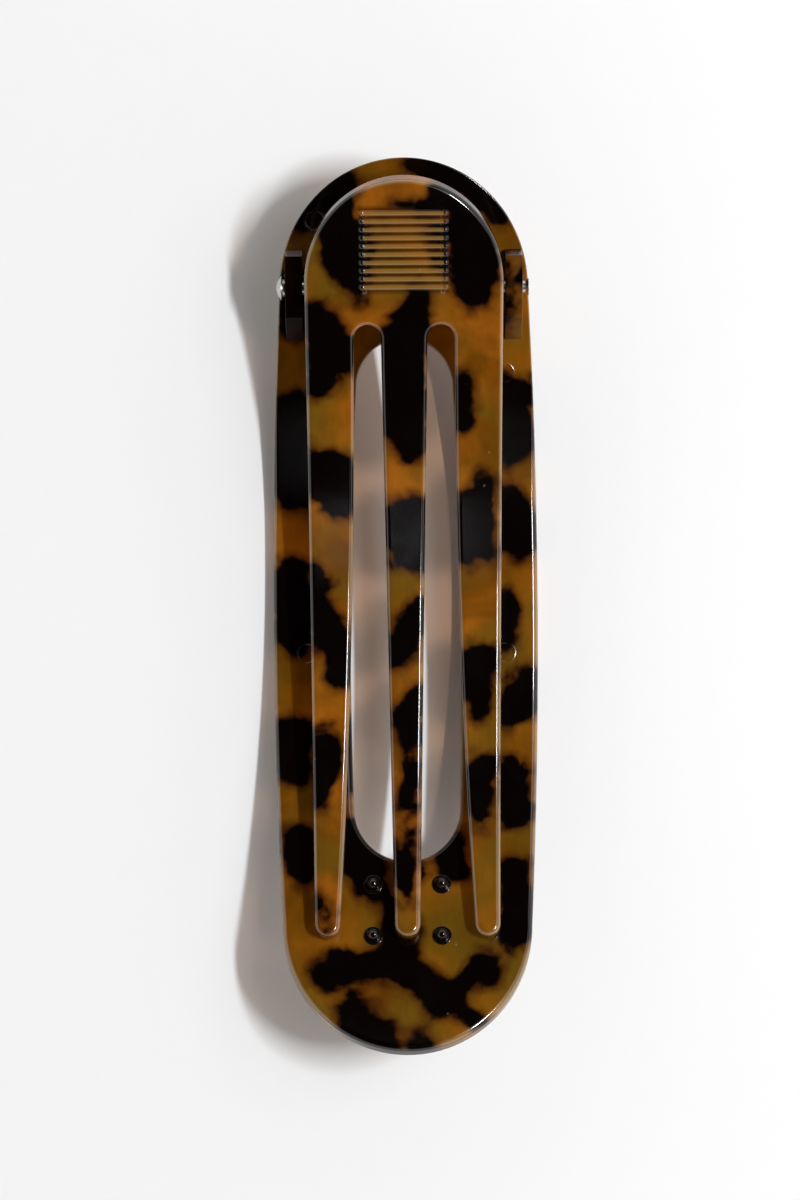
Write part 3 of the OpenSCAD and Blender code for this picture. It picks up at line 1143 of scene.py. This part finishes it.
def lathe(profile: np.ndarray, count: int = 64) -> tuple[np.ndarray, list]:
    """Turns a profile about its own Z axis.

    Args:
        profile: Rows of radius and height, from one end on the axis to the other.
        count: Points round the axis.

    Returns:
        Rows of x, y and z, and the faces.
    """
    points, faces, rows = [], [], []
    for radius, z in profile:
        if radius < 1e-6:
            rows.append([len(points)])
            points.append((0, 0, z))
            continue
        rows.append(list(range(len(points), len(points) + count)))
        angles = 2 * math.pi * np.arange(count) / count
        points += [(radius * math.cos(a), radius * math.sin(a), z) for a in angles]
    for low, high in zip(rows, rows[1:]):
        for k in range(count):
            j = (k + 1) % count
            if len(low) == 1:
                faces.append((low[0], high[j], high[k]))
            elif len(high) == 1:
                faces.append((low[k], low[j], high[0]))
            else:
                faces.append((low[k], low[j], high[j], high[k]))
    return np.array(points), faces


def rounded(corners: list[tuple[float, float, float]], steps: int = 6) -> np.ndarray:
    """Rounds the corners of an open line.

    Args:
        corners: Each corner's two places and the length eased off on both sides of it.
        steps: Points on each rounded corner.

    Returns:
        The line's points.
    """
    spots = [np.array(c[:2], float) for c in corners]
    out = [spots[0]]
    for k in range(1, len(corners) - 1):
        ease = corners[k][2]
        here = spots[k]
        if ease <= 0:
            out.append(here)
            continue
        back = spots[k - 1] - here
        ahead = spots[k + 1] - here
        a = here + back / np.linalg.norm(back) * ease
        b = here + ahead / np.linalg.norm(ahead) * ease
        for t in np.linspace(0, 1, steps + 1):
            out.append((1 - t) ** 2 * a + 2 * t * (1 - t) * here + t * t * b)
    out.append(spots[-1])
    return np.array(out)


def sweep(path: np.ndarray, radius: float, count: int = 12) -> tuple[np.ndarray, list]:
    """Draws a round wire along a path, with domed ends.

    Args:
        path: Rows of x, y and z.
        radius: The wire's radius.
        count: Points round the wire.

    Returns:
        Rows of x, y and z, and the faces.
    """
    ahead = np.gradient(path, axis=0)
    ahead /= np.linalg.norm(ahead, axis=1)[:, None]
    side = np.cross(ahead, [1.0, 0.02, 0.0])
    side /= np.linalg.norm(side, axis=1)[:, None]
    up = np.cross(ahead, side)
    domes = [(-0.85, 0.5), (-0.5, 0.85)]
    rows = [(path[0] + ahead[0] * a * radius, side[0], up[0], r * radius) for a, r in domes]
    rows += [(p, s, u, radius) for p, s, u in zip(path, side, up)]
    rows += [(path[-1] - ahead[-1] * a * radius, side[-1], up[-1], r * radius) for a, r in domes[::-1]]
    angles = 2 * math.pi * np.arange(count) / count
    points = [p + r * (math.cos(a) * s + math.sin(a) * u) for p, s, u, r in rows for a in angles]
    points += [path[0] - ahead[0] * radius, path[-1] + ahead[-1] * radius]
    faces = []
    for k in range(len(rows) - 1):
        a, b = k * count, (k + 1) * count
        faces += [(a + i, a + (i + 1) % count, b + (i + 1) % count, b + i) for i in range(count)]
    last, first_tip = (len(rows) - 1) * count, len(rows) * count
    faces += [((i + 1) % count, i, first_tip) for i in range(count)]
    faces += [(last + i, last + (i + 1) % count, first_tip + 1) for i in range(count)]
    return np.array(points), faces


def close_normals(piece: bpy.types.Object) -> None:
    """Turns every face of a closed piece outwards."""
    work = bmesh.new()
    work.from_mesh(piece.data)
    bmesh.ops.recalc_face_normals(work, faces=work.faces)
    work.to_mesh(piece.data)
    work.free()


# --- The pieces -------------------------------------------------------------------------------


@dataclass
class Plate:
    """The bowed base plate with its long window."""

    rest: Rest
    half_w: float = 18.7
    end_r: float = 17.45
    end_y: float = 44.9
    window_half_w: float = 7.8
    window_side_r: float = 690
    window_bow_y: float = -6
    window_top_y: float = 31.1
    window_low_y: float = -28
    roll: float = 0.85
    roll_low: float = 0.6
    fine_end: float = 0.35
    step: float = 0.45
    mark_r: float = 1.3
    mark_depth: float = 0.12
    mark_wall: float = 0.14
    lip_h: float = 0.05
    lip_out: float = 0.12
    lip_w: float = 0.1
    mark_rings: tuple[float, ...] = (-0.4, -0.14, -0.07, 0.0, 0.07, 0.14, 0.22, 0.35)
    mark_spots: tuple[tuple[float, float], ...] = (
        (-12.4, 54), (14, 33), (14, -6.3), (-14, -6.3), (0, -42.6),
    )

    @property
    def bow(self) -> Bow:
        """The plate's arc in the level frame."""
        return Bow(0, self.rest.bow_z, self.rest.bow_z, self.rest.plate_t)

    def strip(self, half_w: float, side_r: float, bow_y: float, top_y: float, low_y: float) -> np.ndarray:
        """A closed strip with bowed sides and round ends, seen from above.

        Args:
            half_w: Half its width at the widest.
            side_r: Radius of its sides.
            bow_y: Where it is widest.
            top_y: Centre of its upper end.
            low_y: Centre of its lower end.

        Returns:
            Rows of x and y, with the inside on their left.
        """
        ys = np.linspace(low_y, top_y, 240)
        xs = half_w - side_r + np.sqrt(side_r**2 - (ys - bow_y) ** 2)
        right = np.column_stack([xs, ys])
        top = arc(0, top_y, xs[-1], 0, 180)[1:-1]
        left = np.column_stack([-xs, ys])[::-1]
        low = arc(0, low_y, xs[0], 180, 360)[1:-1]
        return np.vstack([right, top, left, low])

    def mark_relief(self, x: np.ndarray, s: np.ndarray) -> np.ndarray:
        """Depth of the shallow round marks in the upper face.

        Args:
            x: Places across the sheet.
            s: Flat lengths along it.

        Returns:
            Heights, below zero in the marks, with a low lip round each.
        """
        out = np.zeros_like(x)
        for mx, my in self.mark_spots:
            r = np.hypot(x - mx, s - float(self.bow.unroll(my, self.bow.top_r)))
            t = np.clip((self.mark_r - r) / self.mark_wall + 0.5, 0, 1)
            lip = self.lip_h * np.exp(-(((r - self.mark_r - self.lip_out) / self.lip_w) ** 2))
            out += lip - self.mark_depth * t * t * (3 - 2 * t)
        return out

    def mark_points(self) -> np.ndarray:
        """Rings of points that the upper face needs to hold the marks.

        Returns:
            Rows of x and flat length.
        """
        rings = []
        for mx, my in self.mark_spots:
            s = float(self.bow.unroll(my, self.bow.top_r))
            rings += [arc(mx, s, self.mark_r + d, 0, 350, 10) for d in self.mark_rings]
            rings.append(arc(mx, s, self.mark_r / 3, 0, 300, 60))
        return np.vstack(rings)

    def build(self, finishes: Finishes) -> bpy.types.Object:
        """Makes the plate.

        Args:
            finishes: The clip's finishes.

        Returns:
            The object.
        """
        bulge = self.half_w - self.end_r
        side_r = (self.end_y**2 + bulge**2) / (2 * bulge)
        outer = self.strip(self.half_w, side_r, 0, self.end_y, -self.end_y)
        window = self.strip(
            self.window_half_w, self.window_side_r, self.window_bow_y, self.window_top_y, self.window_low_y
        )[::-1].copy()
        seen_r = np.where(outer[:, 1] > 0, self.bow.top_r, self.bow.low_r - self.roll_low)
        outer[:, 1] = self.bow.unroll(outer[:, 1], seen_r)
        window[:, 1] = self.bow.unroll(window[:, 1], self.bow.top_r)
        sheet = BentSheet(
            bow=self.bow,
            rest=self.rest,
            outlines=[even_spaced(outer, self.step), even_spaced(window, self.step)],
            roll_top=self.roll,
            roll_low=self.roll_low,
            relief=self.mark_relief,
            relief_points=self.mark_points(),
            upright=1.0,
            fine_end=self.fine_end,
        )
        piece = sheet.build("plate_sheet", PLATE_STAINS, finishes.plate)
        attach(piece, "base")
        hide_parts("base_plate")
        return piece


@dataclass
class Lever:
    """The prong lever: a thumb pad with ribs, and three prongs."""

    rest: Rest
    thick: float = 2.6
    centre_dy: float = -9.7479
    centre_dz: float = 3.3763
    pad_r: float = 13.85
    pad_y: float = 45.15
    tips_half_w: float = 12.95
    tips_y: float = -44.6
    slot_top_y: float = 36.9
    slot_x: float = 5.15
    slot_r: float = 1.9
    middle_tip_w: float = 1.8
    spread_r: float = 1430
    roll: float = 0.75
    roll_low: float = 0.5
    step: float = 0.4
    rib_count: int = 10
    rib_pitch: float = 1.09
    first_rib_y: float = 44.0
    rib_half_l: float = 5.75
    rib_r: float = 0.48
    rib_h: float = 0.35
    bead_h: float = 0.1
    rib_net_end: float = 0.75
    rib_net_lines: tuple[float, ...] = (0.0, 0.45, 0.75, 0.92, 1.0, 1.12)
    bead_rings: tuple[float, ...] = (0.16, 0.3, 0.4, 0.46, 0.49, 0.54)

    @property
    def bow(self) -> Bow:
        """The lever's arc in the level frame."""
        low_r = math.sqrt(self.rest.face_r**2 + self.centre_dy**2 + self.centre_dz**2)
        return Bow(self.centre_dy, self.rest.bow_z + self.centre_dz, low_r, self.thick)

    def inner_edge(self, y: np.ndarray | float) -> np.ndarray:
        """Where an outer prong's inner edge runs.

        Args:
            y: Places along the clip.

        Returns:
            Places across it.
        """
        run = self.spread_r - np.sqrt(self.spread_r**2 - (self.slot_top_y - y) ** 2)
        return self.slot_x + self.slot_r + run

    def outline(self) -> np.ndarray:
        """The lever's closed outline, seen from above.

        Returns:
            Rows of x and y, with the material on their left.
        """
        tip_in = float(self.inner_edge(self.tips_y))
        tip_r = (self.tips_half_w - tip_in) / 2
        ys = np.linspace(self.tips_y, self.slot_top_y, 160)
        slot_in = self.slot_x - self.slot_r
        share = (ys - self.tips_y) / (self.slot_top_y - self.tips_y)
        middle_x = self.middle_tip_w + (slot_in - self.middle_tip_w) * share
        half = np.vstack([
            arc(tip_in + tip_r, self.tips_y, tip_r, 0, -180),
            np.column_stack([self.inner_edge(ys), ys])[1:-1],
            arc(self.slot_x, self.slot_top_y, self.slot_r, 0, 180),
            np.column_stack([middle_x, ys])[::-1][1:],
        ])
        left = half[::-1] * np.array([-1, 1])
        pad = arc(0, self.pad_y, self.pad_r, 180, 0)
        middle = arc(0, self.tips_y, self.middle_tip_w, 0, -180)[1:-1]
        whole = np.vstack([half, middle, left, pad])
        return whole[::-1].copy()

    def rib_lines(self) -> list[float]:
        """Flat lengths of the ribs along the pad.

        Returns:
            One length for each rib.
        """
        ys = self.first_rib_y + self.rib_pitch * np.arange(self.rib_count)
        return [float(v) for v in self.bow.unroll(ys, self.bow.top_r)]

    def rib_relief(self, x: np.ndarray, s: np.ndarray) -> np.ndarray:
        """Height of the ribs above the pad, with a round bead at both ends of each.

        Args:
            x: Places across the sheet.
            s: Flat lengths along it.

        Returns:
            Heights above the sheet's upper face.
        """
        out = np.zeros_like(x)
        sunk = self.rib_r - self.rib_h
        for line in self.rib_lines():
            gap = np.hypot(np.maximum(np.abs(x) - self.rib_half_l, 0), s - line)
            back = np.sqrt(np.maximum(self.rib_r**2 - gap**2, 0)) - sunk
            bead = np.hypot(np.abs(x) - self.rib_half_l, s - line)
            ball = np.sqrt(np.maximum((self.rib_r + 0.02) ** 2 - bead**2, 0)) - sunk + self.bead_h
            out = np.maximum(out, np.maximum(back, np.where(bead < self.rib_r, ball, 0)))
        return out

    def rib_shade_and_highlight(self, x: np.ndarray, s: np.ndarray) -> np.ndarray:
        """Painted shade on the pad's face between the ribs, and a painted highlight on their crests.

        Args:
            x: Places across the sheet.
            s: Flat lengths along it.

        Returns:
            1 for full painted shade between two ribs, falling to -1 for the painted highlight on their
            crests, and 0 outside them.
        """
        lines = self.rib_lines()
        spill = 0.5 * self.rib_pitch
        block = (np.abs(x) < self.rib_half_l + 0.3) & (s > lines[0] - spill) & (s < lines[-1] + spill)
        lift = self.rib_relief(x, s) / self.rib_h
        crest_highlight = np.clip(3 * lift - 1.5, 0, 1) * (np.abs(x) < self.rib_half_l - 0.2)
        return np.where(block, np.clip(1 - lift / 0.5, 0, 1) - crest_highlight, 0.0)

    def rib_points(self) -> np.ndarray:
        """Contours of points that the pad needs to hold the ribs.

        Returns:
            Rows of x and flat length.
        """
        foot = math.sqrt(self.rib_r**2 - (self.rib_r - self.rib_h) ** 2)
        contours = []
        straight = self.rib_half_l - self.rib_net_end
        xs = np.linspace(-straight, straight, 20)
        for line in self.rib_lines():
            for d in self.rib_net_lines:
                for side in (0.0,) if d == 0 else (-1.0, 1.0):
                    contours.append(np.column_stack([xs, np.full(len(xs), line + side * d * foot)]))
            for end in (-self.rib_half_l, self.rib_half_l):
                contours.append(np.array([[end, line]]))
                contours += [arc(end, line, r, 0, 330, 30) for r in self.bead_rings]
        points = np.vstack(contours)
        return np.unique(np.round(points, 4), axis=0)

    def build(self, finishes: Finishes) -> bpy.types.Object:
        """Makes the lever.

        Args:
            finishes: The clip's finishes.

        Returns:
            The object.
        """
        shape = self.outline()
        across, along = np.abs(shape[:, 0]) - self.slot_x, shape[:, 1] - self.slot_top_y
        at_slot = (np.abs(along) < self.slot_r + 0.5) & (np.abs(across) < self.slot_r + 0.1)
        seen_r = np.where(at_slot, self.bow.top_r, self.bow.low_r - self.roll_low)
        shape[:, 1] = self.bow.unroll(shape[:, 1], seen_r)
        sheet = BentSheet(
            bow=self.bow,
            rest=self.rest,
            outlines=[even_spaced(shape, self.step)],
            roll_top=self.roll,
            roll_low=self.roll_low,
            relief=self.rib_relief,
            relief_points=self.rib_points(),
            relief_room=0.3,
            rib_shading=self.rib_shade_and_highlight,
        )
        piece = sheet.build("prong_sheet", LEVER_STAINS, finishes.lever)
        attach(piece, "lever")
        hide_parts("prong_lever")
        return piece


class Side(Enum):
    """The two sides of the clip, seen from above with the thumb end away from the viewer."""

    LEFT = -1
    RIGHT = 1


@dataclass
class HingeBlocks:
    """The ears on the plate, and the lugs under the thumb pad."""

    seat: PinSeat
    ear_x: tuple[float, float] = (14.17, 16.58)
    ear_h: float = 4.2
    ear_back: float = 4.9
    ear_top_front: float = -3.9
    ear_toe: float = -8.0
    ear_toe_h: float = 0.3
    sink: float = 0.12
    lug_x: tuple[float, float] = (11.7, 13.6)
    lug_r: float = 2.0
    lug_top: float = 4.6

    def ear_profile(self) -> np.ndarray:
        """The ear's side, from its foot on the bowed plate to its flat top.

        Returns:
            Rows of y and z in the hinge's frame.
        """
        ys = np.linspace(self.ear_toe, self.ear_back, 14)
        foot = np.column_stack([ys, ys**2 / (2 * self.seat.face_r) - self.seat.lift - self.sink])
        rise, toe = self.ear_h - self.seat.lift, self.ear_toe_h - self.seat.lift
        top = [(self.ear_back, rise), (self.ear_top_front, rise), (self.ear_toe, toe)]
        return np.vstack([foot, top])

    def lug_profile(self) -> np.ndarray:
        """A lug's side: round below the pin, and straight up into the pad.

        Returns:
            Rows of y and z in the hinge's frame.
        """
        low = arc(0, 0, self.lug_r, 180, 360, 7.5)
        return np.vstack([low, [(self.lug_r, self.lug_top), (-self.lug_r, self.lug_top)]])

    def build(self, finishes: Finishes) -> list[bpy.types.Object]:
        """Makes both ears and both lugs.

        Args:
            finishes: The clip's finishes.

        Returns:
            The objects.
        """
        made = []
        for side in Side:
            low, high = sorted(side.value * x for x in self.ear_x)
            word = side.name.lower()
            ear_finish = finishes.ear_dark if side is Side.LEFT else finishes.ear_brown
            block = Prism(self.ear_profile(), (low, high), ease=0.22, end_sheen_from=self.ear_back)
            ear = block.build(f"ear_block_{word}", self.seat, ear_finish)
            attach(ear, "base")
            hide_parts(f"{word}_ear")
            low, high = sorted(side.value * x for x in self.lug_x)
            block = Prism(self.lug_profile(), (low, high), ease=0.2)
            lug = block.build(f"lug_{word}", self.seat, finishes.ear_dark)
            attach(lug, "lever")
            made += [ear, lug]
        return made


@dataclass
class Pin:
    """The hinge pin, with its domed head and its flared tail."""

    seat: PinSeat
    ear_out_x: float = 16.58
    shaft_r: float = 0.9
    neck_r: float = 1.23
    neck_l: float = 0.45
    head_r: float = 1.78
    head_l: float = 0.87
    head_rim: float = 0.12
    tail_l: float = 0.92
    flare_r: float = 1.26
    flare_l: float = 0.3
    tube_r: float = 0.55
    tube_l: float = 0.8

    def profile(self) -> np.ndarray:
        """The pin's outline, from the top of its dome to the bottom of its tail's hole.

        Returns:
            Rows of radius and place along the pin.
        """
        head = -self.ear_out_x - self.neck_l
        dome_r = (self.head_r**2 + self.head_l**2) / (2 * self.head_l)
        sweep_to = math.asin((self.head_r - self.head_rim) / dome_r)
        angles = np.linspace(0, sweep_to, 14)
        dome = np.column_stack([dome_r * np.sin(angles), head - self.head_l + dome_r * (1 - np.cos(angles))])
        end = self.ear_out_x + self.tail_l
        rim = rounded([
            (*dome[-1], 0),
            (self.head_r, head - 0.16, 0.07),
            (self.head_r - 0.06, head, 0.06),
            (self.neck_r, head, 0.12),
            (self.neck_r, head + self.neck_l - 0.05, 0.08),
            (self.shaft_r, head + self.neck_l + 0.1, 0.08),
            (self.shaft_r, end - self.flare_l - 0.1, 0.2),
            (self.flare_r, end - 0.06, 0.09),
            (self.flare_r - 0.16, end, 0.08),
            (self.tube_r, end - 0.14, 0.1),
            (self.tube_r, end - self.tube_l, 0.08),
            (0.0, end - self.tube_l, 0),
        ])
        return np.vstack([dome, rim[1:]])

    def build(self, finishes: Finishes) -> bpy.types.Object:
        """Makes the pin.

        Args:
            finishes: The clip's finishes.

        Returns:
            The object.
        """
        points, faces = lathe(self.profile())
        laid = np.column_stack([points[:, 2], points[:, 1], -points[:, 0]])
        piece = new_piece("pin_turned", self.seat.place(laid), faces, finishes.pin)
        close_normals(piece)
        piece.modifiers.new("weighted", "WEIGHTED_NORMAL")
        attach(piece, "base")
        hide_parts("hinge_pin")
        return piece


@dataclass
class Studs:
    """Four domed studs that keep the hair from sliding, each with a low collar."""

    rest: Rest
    x: float = 4.8
    ys: tuple[float, float] = (-38.9, -46.0)
    collar_r: float = 1.35
    collar_h: float = 0.2
    dome_r: float = 0.82
    height: float = 1.5
    sink: float = 0.3

    def profile(self) -> np.ndarray:
        """Half a stud's section, from its foot to the top of its dome.

        Returns:
            Rows of radius and height above the plate.
        """
        angles = np.linspace(0, math.pi / 2, 10)
        waist = self.height - self.dome_r
        dome = np.column_stack([self.dome_r * np.cos(angles), waist + self.dome_r * np.sin(angles)])
        dome[-1, 0] = 0.0
        foot = rounded([
            (0, -self.sink, 0), (self.collar_r, -self.sink, 0), (self.collar_r, self.collar_h, 0.12),
            (self.collar_r - 0.3, self.collar_h, 0.1), (self.dome_r + 0.12, self.collar_h * 0.3, 0.1),
            (self.dome_r, self.collar_h, 0.05), (self.dome_r, waist, 0),
        ])
        return np.vstack([foot, dome[1:]])

    def build(self, finishes: Finishes) -> bpy.types.Object:
        """Makes the studs as one piece of four.

        Args:
            finishes: The clip's finishes.

        Returns:
            The object.
        """
        shape, shape_faces = lathe(self.profile(), 48)
        points, faces = [], []
        for side in Side:
            for y in self.ys:
                slope = math.asin(y / self.rest.face_r)
                height = self.rest.bow_z - self.rest.face_r * math.cos(slope)
                seat = PinSeat((side.value * self.x, y, height), slope, self.rest.face_r, 0.0)
                start = len(points) * len(shape)
                points.append(self.rest.place(seat.place(shape)))
                faces += [tuple(start + v for v in f) for f in shape_faces]
        piece = new_piece("studs_turned", np.vstack(points), faces, finishes.stud)
        close_normals(piece)
        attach(piece, "base")
        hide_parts("grip_studs")
        return piece


@dataclass
class Spring:
    """The torsion spring: a close coil round the pin, one leg on the plate and one under the pad."""

    seat: PinSeat
    wire_r: float = 0.35
    coil_r: float = 1.65
    turns: int = 6
    coil_gap: float = 0.06
    leg: float = 8.4
    lever_lift: float = 6.2
    play: float = 0.04
    steps: int = 28
    leg_points: int = 12

    def path(self) -> np.ndarray:
        """The wire's middle line, in the hinge's frame.

        Returns:
            Rows of x, y and z.
        """
        pitch = 2 * self.wire_r + self.coil_gap
        half = self.turns * pitch / 2
        turn = np.arange(self.turns * self.steps + self.steps // 2 + 1) / self.steps
        angle = 2 * math.pi * turn
        round_y, round_z = -self.coil_r * np.sin(angle), -self.coil_r * np.cos(angle)
        coil = np.column_stack([-half + pitch * turn, round_y, round_z])
        low_z = self.leg**2 / (2 * self.seat.face_r) - self.seat.lift + self.wire_r + self.play
        high_z = self.lever_lift - self.seat.lift - self.wire_r - self.play
        low = np.linspace((-half, self.leg, low_z), coil[0], self.leg_points)
        high = np.linspace(coil[-1], (coil[-1][0], self.leg, high_z), self.leg_points)
        return np.vstack([low[:-1], coil, high[1:]])

    def build(self, finishes: Finishes) -> bpy.types.Object:
        """Makes the spring.

        Args:
            finishes: The clip's finishes.

        Returns:
            The object.
        """
        line = self.path()
        points, faces = sweep(line, self.wire_r)
        piece = new_piece("spring_coil", self.seat.place(points), faces, finishes.spring)
        close_normals(piece)
        half = float(-line[:, 0].min())
        ends = [self.seat.place(np.array([[x, 0.0, 0.0]]))[0] * MM for x in (-half + 0.3, half)]
        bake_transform(piece)
        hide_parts("torsion_spring")
        return piece


# --- The studio -------------------------------------------------------------------------------


@dataclass(frozen=True)
class Lamp:
    """One area light that looks at the clip: its direction in degrees, its distance, size and power."""

    name: str
    azimuth: float
    elevation: float
    distance: float
    size: tuple[float, float]
    power: float
    colour: Colour = (0.985, 1.0, 1.02)

    def hang(self) -> None:
        """Hangs the light."""
        lamp = bpy.data.lights.new(self.name, "AREA")
        lamp.shape, lamp.energy, lamp.color = "RECTANGLE", self.power, self.colour
        lamp.size, lamp.size_y = self.size
        a, e = math.radians(self.azimuth), math.radians(self.elevation)
        away = Vector((math.cos(a) * math.cos(e), math.sin(a) * math.cos(e), math.sin(e)))
        holder = bpy.data.objects.new(self.name, lamp)
        holder.location = away * self.distance
        holder.rotation_euler = away.to_track_quat("Z", "Y").to_euler()
        bpy.context.scene.collection.objects.link(holder)


@dataclass
class Studio:
    """Pale floor, a narrow key light before a softbox on the right, and a dark ceiling with a dim card."""

    floor_half: float = 1.6
    floor_cells: int = 40
    curl_from: float = 1.3
    curl: float = 0.4
    camera_height: float = 0.700
    camera_at: tuple[float, float] = (-0.0008, 0.00073)
    camera_roll: float = -0.35
    view_length: float = 0.1704
    lamps: tuple[Lamp, ...] = (
        Lamp("key_light", 5.0, 58.6, 1.1, (0.30, 0.05), 8.7),
        Lamp("right_softbox", 14.0, 55.0, 1.3, (0.9, 0.68), 3.4),
        Lamp("ceiling_card", -90.0, 80.0, 1.0, (0.05, 0.11), 0.008),
    )
    sky: float = 1.5
    sky_colour: Colour = (1.0, 0.955, 0.91)
    sky_fade: tuple[float, float] = (0.2, 0.72)

    def floor(self, finishes: Finishes) -> None:
        """Lays the floor: a sheet of paper that curves up gently at its far edges.

        Args:
            finishes: The clip's finishes.
        """
        ticks = np.linspace(-self.floor_half, self.floor_half, self.floor_cells + 1)
        x, y = (v.ravel() for v in np.meshgrid(ticks, ticks))
        z = self.curl * np.maximum(0, np.hypot(x, y) - self.curl_from) ** 2
        side = len(ticks)
        faces = [
            (r * side + c, r * side + c + 1, (r + 1) * side + c + 1, (r + 1) * side + c)
            for r in range(side - 1) for c in range(side - 1)
        ]
        paper = new_piece("paper_floor", np.column_stack([x, y, z]) / MM, faces, finishes.floor)

    def paint_sky(self) -> None:
        """Paints the sky, which is bright near the floor and black overhead."""
        world = bpy.data.worlds.new("studio_sky")
        bpy.context.scene.world = world
        world.use_nodes = True
        n = Nodes(world.node_tree)
        way = n.add("TexCoord").outputs["Generated"]
        up = n.add("SeparateXYZ", {0: way}).outputs["Z"]
        fade = n.maths("SUBTRACT", 1.0, n.ramp(up, *self.sky_fade), True)
        strength = n.maths("MULTIPLY", fade, self.sky)
        n.feed(world.node_tree.nodes["Background"], {"Strength": strength, "Color": rgba(self.sky_colour)})

    def camera(self) -> None:
        """Hangs the camera over the clip."""
        data = bpy.data.cameras.new("camera_above")
        data.sensor_width = 36.0
        data.lens = data.sensor_width * self.camera_height / self.view_length
        data.clip_start, data.clip_end = 0.01, 20
        holder = bpy.data.objects.new("camera_above", data)
        holder.location = (*self.camera_at, self.camera_height)
        holder.rotation_euler = (0, 0, math.radians(self.camera_roll))
        bpy.context.scene.collection.objects.link(holder)
        bpy.context.scene.camera = holder

    def build(self, finishes: Finishes) -> None:
        """Sets up the floor, the lights, the camera and the tone.

        Args:
            finishes: The clip's finishes.
        """
        self.floor(finishes)
        for lamp in self.lamps:
            lamp.hang()
        self.paint_sky()
        self.camera()
        bpy.context.scene.view_settings.view_transform = "Standard"
        bpy.context.scene.view_settings.look = "None"


# --- The whole clip ---------------------------------------------------------------------------


def pin_seat(frame: dict, rest: Rest, pin_y: float = 44.6, lift: float = 2.4) -> PinSeat:
    """The hinge's frame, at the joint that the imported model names.

    Args:
        frame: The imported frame.
        rest: How the clip lies.
        pin_y: Distance of the pin from the plate's middle.
        lift: Height of the pin above the plate.

    Returns:
        The hinge's frame, in millimetres.
    """
    joint = next(j for j in frame["joints"] if j["name"] == "lever_hinge")
    slope = math.asin(pin_y / (rest.face_r - lift)) - rest.tilt
    return PinSeat(tuple(v / MM for v in joint["pos_m"]), slope, rest.face_r, lift)


def main() -> None:
    """Builds the clip round its frame, piece by piece, and sets up the studio."""
    logging.basicConfig(level=logging.INFO, format="%(name)s: %(message)s", force=True)
    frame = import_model()
    finishes = make_finishes()
    rest = Rest()
    seat = pin_seat(frame, rest)
    Studio().build(finishes)
    for maker in (Plate(rest), Lever(rest), HingeBlocks(seat), Pin(seat), Studs(rest), Spring(seat)):
        made = maker.build(finishes)
        for piece in made if isinstance(made, list) else [made]:
            mesh = piece.data
            log.info("%s: %d points, %d faces", piece.name, len(mesh.vertices), len(mesh.polygons))


if __name__ == "__main__":
    main()
